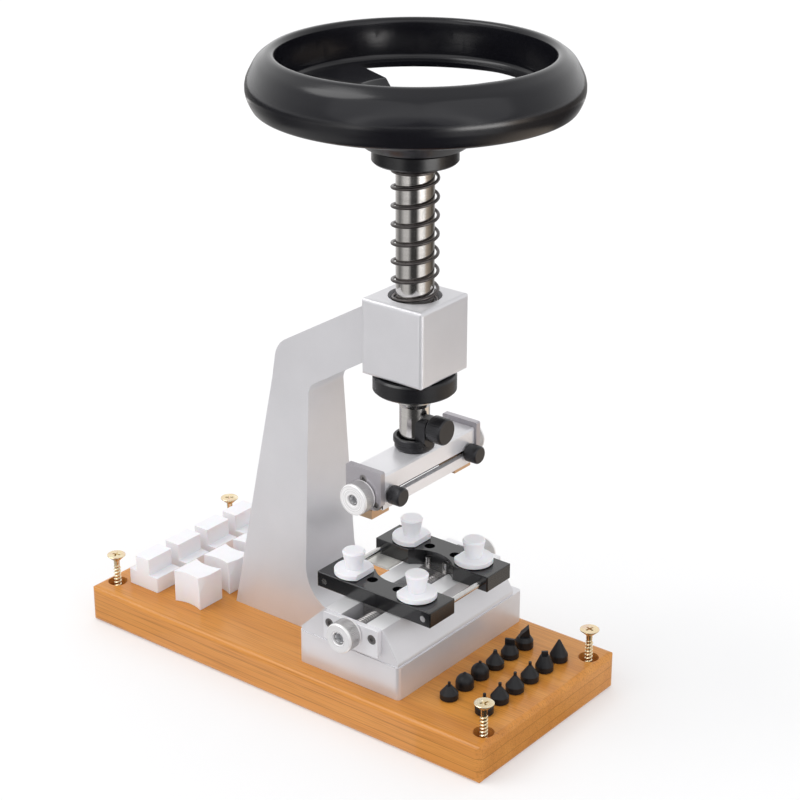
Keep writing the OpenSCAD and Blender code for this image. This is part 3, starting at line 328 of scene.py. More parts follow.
def coated(name, base, rough, metal, spec=0.5):
    """Coated or anodised metal: drawn lines in the colour under an almost even skin."""
    finish, tree = new_finish(name)
    place = object_place(tree)
    lines = use(tree, "drawn_lines", Vector=place, Fineness=1.0)
    skin = use(tree, "fine_skin", Vector=place, Grain=2600.0, Patch=60.0)
    dark = tuple(v * 0.8 for v in base) + (1,)
    light = tuple(v * 1.25 for v in base) + (1,)
    colour = mix_colour(tree, lines["Mask"], dark, light)
    shade(tree, colour, linear(tree, skin["Patches"], 0.12, rough - 0.06), Metallic=metal,
          Specular_IOR_Level=spec, Normal=bump(tree, skin["Height"], 0.000002))
    return finish


def machined_brass():
    """Brass with the long marks of a milling cutter."""
    finish, tree = new_finish("machined_brass")
    lines = use(tree, "drawn_lines", Vector=object_place(tree), Fineness=0.7)
    colour = mix_colour(tree, lines["Mask"], (0.56, 0.38, 0.25, 1), (0.72, 0.52, 0.36, 1))
    shade(tree, colour, linear(tree, lines["Mask"], 0.16, 0.24), Metallic=1.0,
          Normal=bump(tree, lines["Height"], 0.00001))
    return finish


def yellow_zinc():
    """Yellow passivated zinc, which plays from pale straw to pink."""
    finish, tree = new_finish("yellow_zinc")
    place = object_place(tree)
    tint = noise(tree, place, 160.0, 3.0, 0.5, 0.8)
    colour = ramp(tree, tint, [(0.30, (0.86, 0.78, 0.60, 1)), (0.52, (0.80, 0.66, 0.42, 1)),
                               (0.72, (0.74, 0.56, 0.46, 1))])
    skin = use(tree, "fine_skin", Vector=place, Grain=2400.0, Patch=300.0)
    shade(tree, colour, linear(tree, skin["Patches"], 0.16, 0.18), Metallic=1.0,
          Normal=bump(tree, skin["Height"], 0.00001))
    return finish


# ---------------------------------------------------------------- camera and studio

def in_scene(name, data):
    """A new object of the scene."""
    made = bpy.data.objects.new(name, data)
    bpy.context.scene.collection.objects.link(made)
    return made


def add_camera():
    """The camera of the photograph: a long lens above the near right corner."""
    yaw, pitch = math.radians(38.28), math.radians(23.12)
    place = Vector((0.5684, -0.6776, 0.5100))
    back = Vector((math.sin(yaw) * math.cos(pitch), -math.cos(yaw) * math.cos(pitch),
                   math.sin(pitch)))
    right = Vector((math.cos(yaw), math.sin(yaw), 0))
    up = back.cross(right)
    data = bpy.data.cameras.new("photo_camera")
    data.lens = 93.97
    data.sensor_width = 36
    data.clip_start, data.clip_end = 0.02, 60
    camera = in_scene("photo_camera", data)
    turn = Matrix((right, up, back)).transposed().to_4x4()
    camera.matrix_world = Matrix.Translation(place) @ turn
    bpy.context.scene.camera = camera


def add_sun(name, towards, strength, angle, colour):
    """A soft sun: its light travels along the given direction."""
    data = bpy.data.lights.new(name, "SUN")
    data.energy = strength
    data.angle = math.radians(angle)
    data.color = colour
    lamp = in_scene(name, data)
    lamp.rotation_mode = "QUATERNION"
    lamp.rotation_quaternion = Vector(towards).to_track_quat("-Z", "Y")


def add_world():
    """A pale dome for metal to mirror, darker low down in front but for one bright band."""
    world = bpy.data.worlds.new("studio")
    bpy.context.scene.world = world
    world.use_nodes = True
    tree = world.node_tree
    tree.nodes.clear()
    way = add(tree, "ShaderNodeTexCoord").outputs["Generated"]
    front = (0.61, -0.79, 0.0)
    level = linear(tree, vectors(tree, "DOT_PRODUCT", way, front, "Value"), 0.5, 0.5)
    low = ramp(tree, level, [(0.0, grey(1.0)), (0.18, grey(0.95)), (0.45, grey(0.62)),
                             (0.84, (0.42, 0.42, 0.43, 1)), (0.87, grey(1.0)),
                             (0.90, grey(1.0)), (0.93, (0.30, 0.30, 0.31, 1)),
                             (1.0, (0.15, 0.15, 0.16, 1))])
    high = ramp(tree, parts(tree, way)["Z"], [(0.0, grey(0)), (0.35, grey(0.1)),
                                              (0.85, grey(1))])
    dome = mix_colour(tree, high, low, grey(0.62))
    light = add(tree, "ShaderNodeBackground", {"Color": dome, "Strength": 1.25})
    plain = add(tree, "ShaderNodeBackground", {"Color": (0.956, 0.956, 0.958, 1),
                                               "Strength": 1.0})
    path = add(tree, "ShaderNodeLightPath").outputs
    pick = add(tree, "ShaderNodeMixShader", {0: path["Is Camera Ray"], 1: light.outputs[0],
                                             2: plain.outputs[0]})
    add(tree, "ShaderNodeOutputWorld", {"Surface": pick.outputs[0]})


def add_floor():
    """A wide pale floor that keeps the object's shadow, and shows as nearly white."""
    bpy.ops.mesh.primitive_plane_add(size=40, location=(0, 0, 0))
    floor = bpy.context.object
    floor.name = "studio_floor"
    finish, tree = new_finish("studio_floor")
    path = add(tree, "ShaderNodeLightPath").outputs
    seen = maths(tree, "MAXIMUM", path["Is Camera Ray"],
                 maths(tree, "MAXIMUM", path["Is Glossy Ray"], path["Is Transmission Ray"]))
    matt = add(tree, "ShaderNodeBsdfDiffuse", {"Color": (0.90, 0.90, 0.91, 1)})
    shadowed = add(tree, "ShaderNodeBsdfDiffuse", {"Color": (0.58, 0.58, 0.585, 1)})
    glow = add(tree, "ShaderNodeEmission", {"Color": grey(0.37), "Strength": 1.0})
    shown = add(tree, "ShaderNodeAddShader", {0: shadowed.outputs[0], 1: glow.outputs[0]})
    pick = add(tree, "ShaderNodeMixShader", {0: seen, 1: matt.outputs[0],
                                             2: shown.outputs[0]})
    add(tree, "ShaderNodeOutputMaterial", {"Surface": pick.outputs[0]})
    floor.data.materials.append(finish)


# Grey tones of the floor cards as (angle in degrees, tone), by what mirrors them
FOOT_TONES = ((-180, 0.50), (-98, 0.50), (-84, 0.035), (62, 0.035), (84, 0.70), (125, 0.70),
              (150, 0.50), (180, 0.50))
COLUMN_TONES = ((-180, 0.50), (-110, 0.62), (-60, 0.62), (-38, 0.20), (-20, 0.05),
                (20, 0.05), (40, 0.30), (66, 0.55), (84, 0.95), (118, 0.95), (140, 0.50),
                (180, 0.50))
SHAFT_TONES = ((-180, 0.60), (-150, 0.60), (-121, 0.33), (-101, 0.15), (-84, 0.30),
               (-68, 0.55), (-42, 0.55), (-30, 0.20), (-21, 0.045), (7, 0.045), (17, 0.36),
               (27, 0.95), (44, 0.95), (56, 0.75), (68, 0.42), (84, 0.27), (101, 0.15),
               (121, 0.09), (140, 0.20), (160, 0.50), (180, 0.60))
WHEEL_TONES = ((-180, 0.05), (-127, 0.015), (-90, 0.02), (-60, 0.08), (-38, 0.24),
               (-24, 0.03), (10, 0.01), (22, 0.18), (32, 1.00), (54, 1.00), (66, 0.30),
               (84, 0.05), (120, 0.02), (160, 0.04), (180, 0.05))


def tone_bands(tree, around, tones):
    """A ramp of grey tones by angle, a little warm where the wood would show."""
    stops = []
    for angle, tone in tones:
        warmth = 0.30 if 60 < angle < 125 else 0.03
        colour = (tone, tone * (1 - 0.5 * warmth), tone * (1 - warmth), 1)
        stops.append(((angle + 180) / 360, colour))
    return ramp(tree, around, stops)


def add_cards():
    """Grey cards on the floor round the spindle, which only show in polished faces."""
    rings, sides, height = (0.10, 2.4), 96, 0.002
    verts = [(r * math.cos(TAU * k / sides), r * math.sin(TAU * k / sides), height)
             for r in rings for k in range(sides)]
    faces = [(k, (k + 1) % sides, sides + (k + 1) % sides, sides + k) for k in range(sides)]
    data = bpy.data.meshes.new("grey_cards")
    data.from_pydata(verts, [], faces)
    cards = in_scene("grey_cards", data)
    finish, tree = new_finish("grey_cards")
    moved = vectors(tree, "SUBTRACT", object_place(tree), (SPINDLE_X * MM, 0, 0))
    split = parts(tree, mapped(tree, moved, Rotation=(0, 0, math.radians(52.2))))
    angle = maths(tree, "ARCTAN2", split["Y"], split["X"])
    around = maths(tree, "ADD", maths(tree, "DIVIDE", angle, TAU), 0.5)
    flat = vectors(tree, "MULTIPLY", moved, (1, 1, 0))
    reach = vectors(tree, "LENGTH", flat, output="Value")
    colour = tone_bands(tree, around, FOOT_TONES)
    for tones, start, end in ((COLUMN_TONES, 0.17, 0.21), (SHAFT_TONES, 0.35, 0.42),
                              (WHEEL_TONES, 0.88, 0.98)):
        mask = rise(tree, reach, start, end)
        colour = mix_colour(tree, mask, colour, tone_bands(tree, around, tones))
    # The outermost band, which the black wheel mirrors, glows eight times as bright
    glow = add(tree, "ShaderNodeEmission", {"Color": colour,
                                            "Strength": linear(tree, mask, 7.0, 1.0)})
    add(tree, "ShaderNodeOutputMaterial", {"Surface": glow.outputs[0]})
    data.materials.append(finish)
    cards.visible_camera = cards.visible_diffuse = False
    cards.visible_shadow = cards.visible_transmission = False


# ---------------------------------------------------------------- mesh helpers

AXIS_TURNS = {"Z": Matrix.Identity(3), "X": Matrix.Rotation(QUARTER, 3, "Y"),
              "Y": Matrix.Rotation(-QUARTER, 3, "X")}
SAME = 1e-6             # lengths in millimetres that differ by less are the same
WELD, CAD_WELD = 1e-7, 2e-6     # points of a mesh that are nearer, in metres, become one
FLAT = math.radians(0.4)        # CAD faces at a smaller angle become one
EDGE_ANGLE = math.radians(35)   # edges of CAD copies that are sharper get rounded


@contextmanager
def edited(data):
    """The mesh as an editable bmesh, written back at the end."""
    work = bmesh.new()
    work.from_mesh(data)
    yield work
    work.to_mesh(data)
    work.free()


def smooth(data, sharp):
    """Smooth shading, with edges sharp above an angle in degrees."""
    data.shade_smooth()
    data.set_sharp_from_angle(angle=math.radians(sharp))


def baked(piece):
    """The piece with its modifiers applied, as a new plain mesh."""
    graph = bpy.context.evaluated_depsgraph_get()
    graph.update()
    return bpy.data.meshes.new_from_object(piece.evaluated_get(graph))


def plain_object(name, verts, faces):
    """A helper object that stays out of the finished scene."""
    data = bpy.data.meshes.new(name)
    data.from_pydata(verts, [], faces)
    with edited(data) as work:
        bmesh.ops.recalc_face_normals(work, faces=work.faces)
    return in_scene(name, data)


def settle(piece, body, replaced):
    """Puts a piece on its body, in place of the named CAD nodes, which it hides."""
    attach(piece, body)
    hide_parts(*replaced)


def link_mesh(name, verts, faces, body, finish, replaced, sharp, axis="Z",
              centre=(0, 0, 0)):
    """A piece from points in millimetres round Z, turned to its axis, moved to its centre."""
    turn, shift = AXIS_TURNS[axis], Vector(centre)
    data = bpy.data.meshes.new(name)
    data.from_pydata([(turn @ Vector(v) + shift) * MM for v in verts], [], faces)
    with edited(data) as work:
        bmesh.ops.remove_doubles(work, verts=work.verts, dist=WELD)
        bmesh.ops.recalc_face_normals(work, faces=work.faces)
    smooth(data, sharp)
    data.materials.append(finish)
    piece = in_scene(name, data)
    settle(piece, body, replaced)
    return piece


def paint(data, finish, wanted):
    """A second finish for the faces whose middle, in millimetres, and normal are wanted."""
    data.materials.append(finish)
    last = len(data.materials) - 1
    for face in data.polygons:
        if wanted(face.center / MM, face.normal):
            face.material_index = last


def grid_faces(rows, columns, closed_rows=False):
    """Quads of a tube whose rings follow each other, or of a ring whose rows close up."""
    faces = []
    last = rows if closed_rows else rows - 1
    for i in range(last):
        a, b = i * columns, ((i + 1) % rows) * columns
        for k in range(columns):
            n = (k + 1) % columns
            faces.append((a + k, a + n, b + n, b + k))
    return faces


def ring_points(rings, columns, shape):
    """Points round Z of rings (radius, height), where shape(radius, height, angle) is used."""
    verts = []
    for r, z in rings:
        for k in range(columns):
            angle = TAU * k / columns
            rr = shape(r, z, angle)
            verts.append((rr * math.cos(angle), rr * math.sin(angle), z))
    return verts


def capped(rows, columns):
    """Faces of a tube that is closed at both ends."""
    faces = grid_faces(rows, columns)
    faces.append(tuple(range(columns)))
    faces.append(tuple(range((rows - 1) * columns, rows * columns)))
    return faces


def ring_stack(rings, columns, shape):
    """Points and faces of a body made of rings and closed at both ends."""
    return ring_points(rings, columns, shape), capped(len(rings), columns)


def knurling(radius, teeth, depth, low=-math.inf, high=math.inf):
    """A shape for rings: straight teeth on those of one radius between two heights."""
    def shape(r, h, angle):
        if abs(r - radius) > SAME or not low <= h <= high:
            return r
        return r - depth * (0.5 - 0.5 * math.cos(angle * teeth))
    return shape


def hex_radius(flat_r, angle):
    """Radius at an angle of a hexagon whose flats are flat_r from its centre."""
    return flat_r / math.cos((angle + math.pi / 6) % (math.pi / 3) - math.pi / 6)


# ---------------------------------------------------------------- pieces

def return_spring(finish):
    """The coil spring: one wire with nearly closed ends."""
    wire_r, coil_r, start = 0.72, 10.0, math.radians(302)
    low, high = 190.62, 252.18
    end_turns, end_pitch, pitch = 0.75, 2.4, 8.4
    turns = (high - low - 2 * end_turns * end_pitch) / pitch + 2 * end_turns
    steps, sides = 288, 14

    def level(t):
        if t < end_turns:
            return low + t * end_pitch
        if t > turns - end_turns:
            return high - (turns - t) * end_pitch
        return low + end_turns * end_pitch + (t - end_turns) * pitch

    path = []
    for i in range(steps + 1):
        t = turns * i / steps
        angle = start + TAU * t
        path.append(Vector((SPINDLE_X + coil_r * math.cos(angle), coil_r * math.sin(angle),
                            level(t))))
    verts = []
    for i, point in enumerate(path):
        way = (path[min(i + 1, steps)] - path[max(i - 1, 0)]).normalized()
        out = way.cross(Vector((0, 0, 1))).normalized()
        up = out.cross(way)
        for k in range(sides):
            angle = TAU * k / sides
            around = math.cos(angle) * out + math.sin(angle) * up
            verts.append(tuple(point + wire_r * around))
    piece = link_mesh("return_spring_wire", verts, capped(len(path), sides), "stand",
                      finish, ["return_spring"], sharp=60)
    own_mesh(piece)


def threaded_rod(name, node, body, radius, half, pitch, socket_flat, z):
    """A screw along Y, right-hand on one half and left-hand on the other, with sockets."""
    columns, rows_per_turn = 36, 8
    plain, end_l, chamfer, socket_depth = 5.0, 1, 0.4, 2.4
    depth, groove_part = 0.30 * pitch, 0.7
    long = 2 * half - 2 * end_l
    rows = int(long / (pitch / rows_per_turn))
    middle_rings = [(radius, -half + end_l + long * i / rows) for i in range(rows + 1)]

    def thread(r, y, angle):
        """A groove that starts beyond the plain middle and stops before the ends."""
        if r < radius - SAME or abs(y) < plain or abs(y) > half - 0.9:
            return r
        turn = (y / pitch + math.copysign(angle / TAU, y)) % 1
        groove = max(0.0, 1 - abs(turn - 0.5) * 2 / groove_part)
        fade = min(1.0, (abs(y) - plain) / pitch)
        return r - depth * groove * fade

    def socketed(r, y, angle):
        """A ring with a minus sign is one of the six-sided socket."""
        return hex_radius(-r, angle) if r < 0 else thread(r, y, angle)

    ends = [(radius - chamfer, half), (-socket_flat, half),
            (-socket_flat, half - socket_depth)]
    rings = [(r, -y) for r, y in reversed(ends)] + middle_rings + ends
    verts, faces = ring_stack(rings, columns, socketed)
    rod = link_mesh(name, verts, faces, body, SCREW, [node], sharp=32, axis="Y",
                    centre=(SPINDLE_X, 0, z))
    reach = 1.2 * socket_flat
    # Painted shade: the faces of the hex sockets get a flat grey
    paint(rod.data, SOCKET_SHADE, lambda middle, normal:
          math.hypot(middle.x - SPINDLE_X, middle.z - z) < reach)


def knurled_knob(name, node, body, finish, radius, length, bore, y, z, outward):
    """A round knob on a screw along Y, with straight knurling between two chamfers."""
    teeth, per_tooth, depth = 56, 4, 0.16
    columns = teeth * per_tooth
    margin, step, chamfer = 1.3, 0.3, 0.5
    plain_r = radius - 0.12
    low, high = margin, length - margin
    rings = [(bore, 0.0), (radius - chamfer, 0.0), (plain_r, 0.4), (plain_r, low - step)]
    rings += [(radius, low + (high - low) * i / 4) for i in range(5)]
    rings += [(plain_r, high + step), (plain_r, length - 0.45), (radius - chamfer, length),
              (bore + 0.35, length), (bore, length - 0.3)]
    knurl = knurling(radius, teeth, depth, low, high)
    verts = [(x, s, h * outward) for x, s, h in ring_points(rings, columns, knurl)]
    faces = grid_faces(len(rings), columns, closed_rows=True)
    knob = link_mesh(name, verts, faces, body, finish, [node], sharp=40,
                     axis="Y", centre=(SPINDLE_X, y, z))
    # Painted shade: the knurled band is darker than the rest of the knob, standing in for shade
    # in its fine grooves
    paint(knob.data, KNURL_SHADE, lambda middle, normal:
          low < (middle.y - y) * outward < high
          and math.hypot(middle.x - SPINDLE_X, middle.z - z) > radius - 1)


def thumb_screw(name, node, body, stem_r, stem_l, knob_r, knob_l, start):
    """A round black thumb screw along X with a fine knurled knob."""
    teeth, per_tooth, depth = 40, 4, 0.11
    tip, chamfer, edge = 0.4, 0.7, 0.9
    shoulder_r, shoulder_h = knob_r - 0.15, 0.5
    top = stem_l + knob_l
    rings = [(stem_r - tip, 0.0), (stem_r, tip), (stem_r, stem_l),
             (knob_r - chamfer, stem_l), (shoulder_r, stem_l + shoulder_h),
             (knob_r, stem_l + edge), (knob_r, stem_l + knob_l / 2), (knob_r, top - edge),
             (shoulder_r, top - shoulder_h), (knob_r - chamfer, top), (knob_r * 0.5, top)]
    verts, faces = ring_stack(rings, teeth * per_tooth, knurling(knob_r, teeth, depth))
    link_mesh(name, verts, faces, body, BLACK, [node], sharp=40, axis="X",
              centre=start)


def softened(name, node, body, finish, width):
    """A smooth copy of a CAD node with its edges rounded by a width in millimetres, or 0."""
    data = nodes[node].data.copy()
    data.name = name
    with edited(data) as work:
        bmesh.ops.remove_doubles(work, verts=work.verts, dist=CAD_WELD)
        bmesh.ops.dissolve_limit(work, angle_limit=FLAT, verts=work.verts, edges=work.edges)
    if data.attributes.get("custom_normal"):
        data.attributes.remove(data.attributes["custom_normal"])
    data.shade_smooth()
    blank = in_scene(name + "_blank", data)
    if width:
        edge = blank.modifiers.new("edges", "BEVEL")
        edge.limit_method = "ANGLE"
        edge.angle_limit = EDGE_ANGLE
        edge.width = width * MM
        edge.segments = 3
        edge.use_clamp_overlap = True
        even = blank.modifiers.new("even", "WEIGHTED_NORMAL")
        even.weight = 100
    else:
        data.set_sharp_from_angle(angle=EDGE_ANGLE)
    made = baked(blank)
    made.name = name
    bpy.data.objects.remove(blank)
    made.materials.clear()
    made.materials.append(finish)
    piece = in_scene(name, made)
    settle(piece, body, [node])
    return piece


def cross_cutter():
    """The cutter for a cross recess: two crossed tapered blades pointing down from Z = 0."""
    ends = ((0.6, 2.5, 0.5), (-2.2, 0.75, 0.32))    # height, half length, half width
    corners = ((-1, -1), (1, -1), (1, 1), (-1, 1))
    quads = ((0, 1, 2, 3), (4, 7, 6, 5), (0, 4, 5, 1), (1, 5, 6, 2), (2, 6, 7, 3), (3, 7, 4, 0))
    verts, faces = [], []
    for turn in (0, math.pi / 2):
        c, s = math.cos(turn), math.sin(turn)
        base = len(verts)
        for z, half_l, half_w in ends:
            for sx, sy in corners:
                x, y = sx * half_l, sy * half_w
                verts.append((x * c - y * s, x * s + y * c, z))
        faces += [tuple(base + q for q in quad) for quad in quads]
    return verts, faces


def wood_screw_mesh(finish):
    """One countersunk wood screw on its tip, with a coarse thread and a cross recess."""
    length, head_r, shank_r, thread_r, pitch = 32.9, 4.55, 1.35, 1.95, 1.75
    columns, rows_per_turn = 32, 9
    thread_top, tip_r, tip_slope, crest_part = length - 5.5, 0.15, 0.30, 0.42
    neck_r = shank_r + 0.1
    rows = int(thread_top / (pitch / rows_per_turn))
    rings = [(0.05, 0.0)]
    for i in range(1, rows + 1):
        z = thread_top * i / rows
        rings.append((min(shank_r, tip_r + z * tip_slope), z))
    rings += [(neck_r, thread_top + 0.6), (neck_r, length - 3.3),
              (head_r - 0.15, length - 0.55), (head_r, length - 0.4),
              (head_r, length - 0.15), (head_r - 0.2, length), (0.6, length)]

    def thread(r, z, angle):
        """A crest on the shank that grows from the tip and fades below the neck."""
        if z <= 0 or z >= thread_top - SAME:
            return r
        turn = (z / pitch - angle / TAU) % 1
        crest = max(0.0, 1 - abs(turn - 0.5) * 2 / crest_part)
        fade = min(1.0, z / 5.0, (thread_top - z) / 1.5)
        return r + (thread_r - shank_r) * crest * fade

    verts, faces = ring_stack(rings, columns, thread)
    screw = plain_object("screw_blank", verts, faces)
    blade_verts, blade_faces = cross_cutter()
    raised = [(x, y, z + length) for x, y, z in blade_verts]
    cutter = plain_object("cross_cutter", raised, blade_faces)
    cut = screw.modifiers.new("recess", "BOOLEAN")
    cut.operation = "DIFFERENCE"
    cut.solver = "EXACT"
    cut.use_self = True
    cut.object = cutter
    data = baked(screw)
    data.transform(Matrix.Scale(MM, 4))
    smooth(data, 35)
    for gone in (screw, cutter):
        bpy.data.objects.remove(gone)
    data.materials.append(finish)
    return data


def corner_screws(finish):
    """The wood screws that stand in the four corner holes, put there by Geometry Nodes."""
    single = in_scene("one_screw", wood_screw_mesh(finish))
    tree = bpy.data.node_groups.new("stand_at_corners", "GeometryNodeTree")
    for title, kind, default in (("Screw", "NodeSocketObject", None),
                                 ("Spacing X", FLOAT, 0.2256), ("Spacing Y", FLOAT, 0.0826),
                                 ("Tip height", FLOAT, 0.0006),
                                 ("Finish", "NodeSocketMaterial", None)):
        socket = tree.interface.new_socket(name=title, in_out="INPUT", socket_type=kind)
        if default is not None:
            socket.default_value = default
    tree.interface.new_socket(name="Geometry", in_out="OUTPUT",
                              socket_type="NodeSocketGeometry")
    given = tree.nodes.new("NodeGroupInput").outputs
    end = tree.nodes.new("NodeGroupOutput").inputs
    grid = add(tree, "GeometryNodeMeshGrid", {
        "Size X": given["Spacing X"], "Size Y": given["Spacing Y"],
        "Vertices X": 2, "Vertices Y": 2})
    lift = joined(tree, 0.0, 0.0, given["Tip height"])
    corners = add(tree, "GeometryNodeSetPosition", {"Geometry": grid.outputs["Mesh"],
                                                    "Offset": lift})
    number = add(tree, "GeometryNodeInputIndex").outputs[0]
    turn = joined(tree, 0.0, 0.0, linear(tree, number, 1.9, 0.35))
    model = add(tree, "GeometryNodeObjectInfo", {"Object": given["Screw"]})
    placed = add(tree, "GeometryNodeInstanceOnPoints", {
        "Points": corners.outputs[0], "Instance": model.outputs["Geometry"],
        "Rotation": turn})
    solid = add(tree, "GeometryNodeRealizeInstances", {"Geometry": placed.outputs[0]})
    painted = add(tree, "GeometryNodeSetMaterial", {"Geometry": solid.outputs[0],
                                                    "Material": given["Finish"]})
    tree.links.new(painted.outputs[0], end["Geometry"])
    holder = plain_object("screw_places", [(0, 0, 0)], [])
    maker = holder.modifiers.new("stand", "NODES")
    maker.node_group = tree
    values = {"Screw": single, "Finish": finish}
    for item in tree.interface.items_tree:
        if item.in_out == "INPUT" and item.name in values:
            maker[item.identifier] = values[item.name]
    data = baked(holder)
    for gone in (holder, single):
        bpy.data.objects.remove(gone)
    data.name = "corner_wood_screws"
    settle(in_scene("corner_wood_screws", data), "stand", ["wood_screws"])


def dress(finish, *names):
    """Gives CAD nodes a finish."""
    for name in names:
        data = nodes[name].data
        data.materials.clear()
        data.materials.append(finish)


def on_bed(middle, normal):
    """The top of the vise bed, with the upper part of its rounded edges."""
    return abs(middle.z - BED_Z) < 0.7 and normal.z > 0.6


def in_slot(middle, normal):
    """The walls and floor of the bed's slot, without the casting's end faces, which get a near
    black painted shade.
    """
    half_w, half_l, edge, end_face = 7.1, 45, 0.8, 0.5
    return (abs(middle.x - SPINDLE_X) < half_w and DECK_Z < middle.z < BED_Z - edge
            and abs(normal.y) < end_face and abs(middle.y) < half_l)


def in_bar(middle, normal):
    """The inside of the opener bar, which gets a near black painted shade."""
    half_w, ceiling_z = 6.2, 115.2
    return abs(middle.x - SPINDLE_X) < half_w and middle.z < ceiling_z


# ---------------------------------------------------------------- the studio

add_camera()
add_world()
add_floor()
add_cards()
add_sun("key_sun", (0.42, 0.34, -0.80), 0.86, 35, (1.0, 0.997, 0.99))
add_sun("front_sun", (-0.10, 0.80, -0.45), 0.35, 60, (0.98, 0.98, 1.0))
add_sun("right_sun", (-0.80, 0.20, -0.45), 0.42, 60, (0.98, 0.98, 1.0))
bpy.context.scene.view_settings.view_transform = "Standard"

# ---------------------------------------------------------------- the finishes

SPINDLE = (SPINDLE_X, 0, 0)
JAW_SCREW = (SPINDLE_X, 0, JAW_SCREW_Z)
VISE_SCREW = (SPINDLE_X, 0, VISE_SCREW_Z)
SATIN = {"grain": 2200.0, "depth": 0.000004}
PALE_KNOB = {"rough": 0.28, "metal": 0.30, "depth": 0.000001, "contrast": 0.04}

WOOD = varnished_wood()
CAST = sprayed("sprayed_silver", (0.755, 0.75, 0.775), rough=0.34, metal=0.45)
BAR = sprayed("satin_bar", (0.86, 0.855, 0.88), rough=0.30, metal=0.35, **SATIN)
PLATE = sprayed("end_plate_metal", (0.46, 0.44, 0.47), rough=0.30, metal=0.55, **SATIN)
# A paler finish for the upward faces of the bed, lighter than the casting around them
BED = sprayed("pale_bed_top", (0.88, 0.88, 0.89), rough=0.32, metal=0.35, **SATIN)
SLIDE = sprayed("plated_slide", (0.88, 0.87, 0.82), rough=0.34, metal=0.30, **SATIN)
# Darker grey for the knurled bands of the knobs: painted shade for their fine grooves
KNURL_SHADE = sprayed("knurl_painted_shade", (0.50, 0.49, 0.49), rough=0.30, metal=0.60, grain=2200.0,
                depth=0.000002)
WHEEL = patchy("black_moulding", 1100.0, 22.0, (0.004, 0.004, 0.006), (0.008, 0.008, 0.011),
               rough=0.15, spread=0.08, depth=0.00001, Specular_IOR_Level=0.42)
NYLON = patchy("white_nylon", 1800.0, 90.0, (0.84, 0.84, 0.87), (0.90, 0.90, 0.93),
               rough=0.42, spread=0.10, depth=0.00002, Subsurface_Weight=0.15,
               Subsurface_Scale=0.002, Specular_IOR_Level=0.4)
OXIDE = patchy("black_oxide", 2200.0, 240.0, (0.004, 0.004, 0.005), (0.020, 0.020, 0.022),
               rough=0.30, spread=0.2, depth=0.00004, Specular_IOR_Level=0.3)
WIRE = patchy("spring_wire_steel", 2600.0, 420.0, (0.05, 0.045, 0.045), (0.17, 0.155, 0.15),
              rough=0.22, spread=0.2, depth=0.00001, Metallic=1.0)
SHAFT = turned_metal("polished_shaft", (0.80, 0.78, 0.76), SPINDLE, "Z", rough=0.12,
                     spread=0.08)
STEEL = turned_metal("turned_steel", (0.62, 0.61, 0.60), SPINDLE, "Z", rough=0.28)
COLLAR = turned_metal("blacked_collar", (0.010, 0.010, 0.012), SPINDLE, "Z", rough=0.24,
                      metal=0.0, depth=0.00001)
JAW_KNOB = turned_metal("jaw_knob_metal", (0.88, 0.87, 0.87), JAW_SCREW, "Y", **PALE_KNOB)
VISE_KNOB = turned_metal("vise_knob_metal", (0.88, 0.87, 0.87), VISE_SCREW, "Y", **PALE_KNOB)
SCREW = turned_metal("screw_steel", (0.34, 0.33, 0.33), VISE_SCREW, "Y", rough=0.30)
ROD = turned_metal("rod_steel", (0.70, 0.69, 0.68), (SPINDLE_X, 0, GUIDE_ROD_Z), "Y",
                   rough=0.18)
BLOCK = coated("black_anodised", (0.006, 0.006, 0.007), rough=0.20, metal=0.0, spec=0.8)
BLACK = coated("black_coat", (0.028, 0.028, 0.031), rough=0.30, metal=0.4)
# Near black painted shade for the slot of the bed and the inside of the opener bar, where shade
# falls
SLOT_SHADE = coated("painted_slot_shade", (0.010, 0.009, 0.010), rough=0.60, metal=0.0, spec=0.2)
# Flat grey painted shade for the hex sockets of the screws
SOCKET_SHADE = coated("socket_shade", (0.50, 0.50, 0.51), rough=0.45, metal=0.0, spec=0.3)
BRASS = machined_brass()
ZINC = yellow_zinc()

# ---------------------------------------------------------------- CAD nodes that stay

dress(WOOD, "wood_base")
dress(SHAFT, "spindle_shaft")
dress(COLLAR, "upper_collar", "lower_collar")
dress(BLACK, "holder_cup")
dress(NYLON, "near_left_peg", "near_right_peg", "far_left_peg", "far_right_peg")
dress(OXIDE, "pin_bits", "flat_pin_bit", "dome_bits", "chisel_bit", "claw_bit", "cone_bit")
dress(ROD, "guide_rods")
dress(STEEL, "spindle_bush", "base_bolts", "base_washers", "spring_washer", "collar_screws",
      "wheel_washer", "wheel_nut", "holder_bolt", "opener_knob_screws", "vise_knob_screws",
      "near_vise_nut", "near_nut_screws", "slide_plate_screws", "far_vise_nut",
      "far_nut_screws")
dress(SLIDE, "far_slide_plate")
dress(SCREW, "vise_plate_screws", "opener_plate_screws")

# ---------------------------------------------------------------- pieces made anew

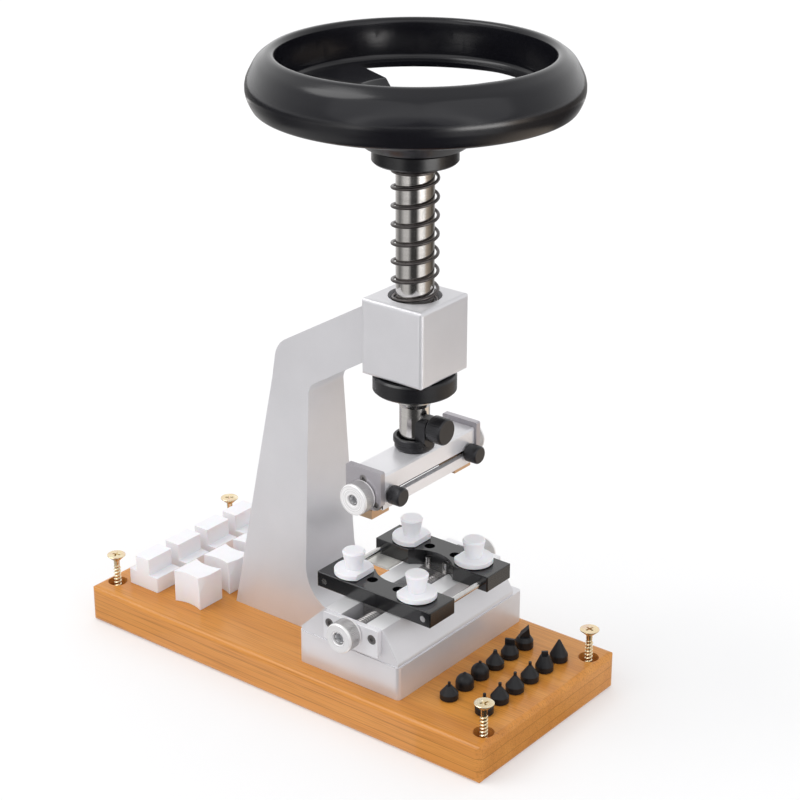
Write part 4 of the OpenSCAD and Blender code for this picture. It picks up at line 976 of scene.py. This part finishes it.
casting = softened("casting", "frame_casting", "stand", CAST, 0.9)
paint(casting.data, BED, on_bed)
# Painted shade: the bed's slot walls and floor turn near black
paint(casting.data, SLOT_SHADE, in_slot)
head_bar = softened("head_bar", "opener_bar", "spindle", BAR, 0.35)
# Painted shade: the inside of the opener bar turns near black
paint(head_bar.data, SLOT_SHADE, in_bar)
softened("wheel_moulding", "handwheel", "spindle", WHEEL, 0)
for side in ("near", "far"):
    softened(f"bar_end_{side}", f"opener_{side}_plate", "spindle", PLATE, 0.3)
    softened(f"vise_end_{side}", f"vise_{side}_plate", "stand", BAR, 0.3)
    softened(f"vise_jaw_{side}", f"{side}_vise_block", f"{side}_vise", BLOCK, 0.3)
    softened(f"brass_jaw_{side}", f"{side}_jaw", f"{side}_jaw_body", BRASS, 0.3)
for row in ("step", "groove"):
    softened(f"white_{row}_blocks", f"{row}_blocks", "stand", NYLON, 0.4)
return_spring(WIRE)
corner_screws(ZINC)
threaded_rod("vise_screw_threads", "vise_screw", "vise_screw_body", radius=3.0, half=54.2,
             pitch=1.5, socket_flat=2.0, z=VISE_SCREW_Z)
threaded_rod("jaw_screw_threads", "jaw_screw", "jaw_screw_body", radius=2.5, half=43.3,
             pitch=1.0, socket_flat=1.6, z=JAW_SCREW_Z)
for side, outward in (("near", -1), ("far", 1)):
    knurled_knob(f"jaw_knob_{side}", f"opener_{side}_knob", "jaw_screw_body", JAW_KNOB,
                 radius=7.35, length=7.3, bore=2.55, y=outward * 37.0, z=JAW_SCREW_Z,
                 outward=outward)
    knurled_knob(f"vise_knob_{side}", f"vise_{side}_knob", "vise_screw_body", VISE_KNOB,
                 radius=7.2, length=8.4, bore=3.05, y=outward * 47.0, z=VISE_SCREW_Z,
                 outward=outward)
    thumb_screw(f"jaw_thumb_{side}", f"{side}_jaw_thumb_screw", f"{side}_jaw_lock",
                stem_r=1.3, stem_l=6.0, knob_r=4.3, knob_l=7.0,
                start=(SPINDLE_X + 3.1, outward * JAW_Y, JAW_SCREW_Z))
thumb_screw("clamp_thumb", "clamp_screw", "clamp_screw_body", stem_r=2.0, stem_l=3.3,
            knob_r=6.2, knob_l=8.0, start=(SPINDLE_X + STUB_R, 0, CLAMP_Z))
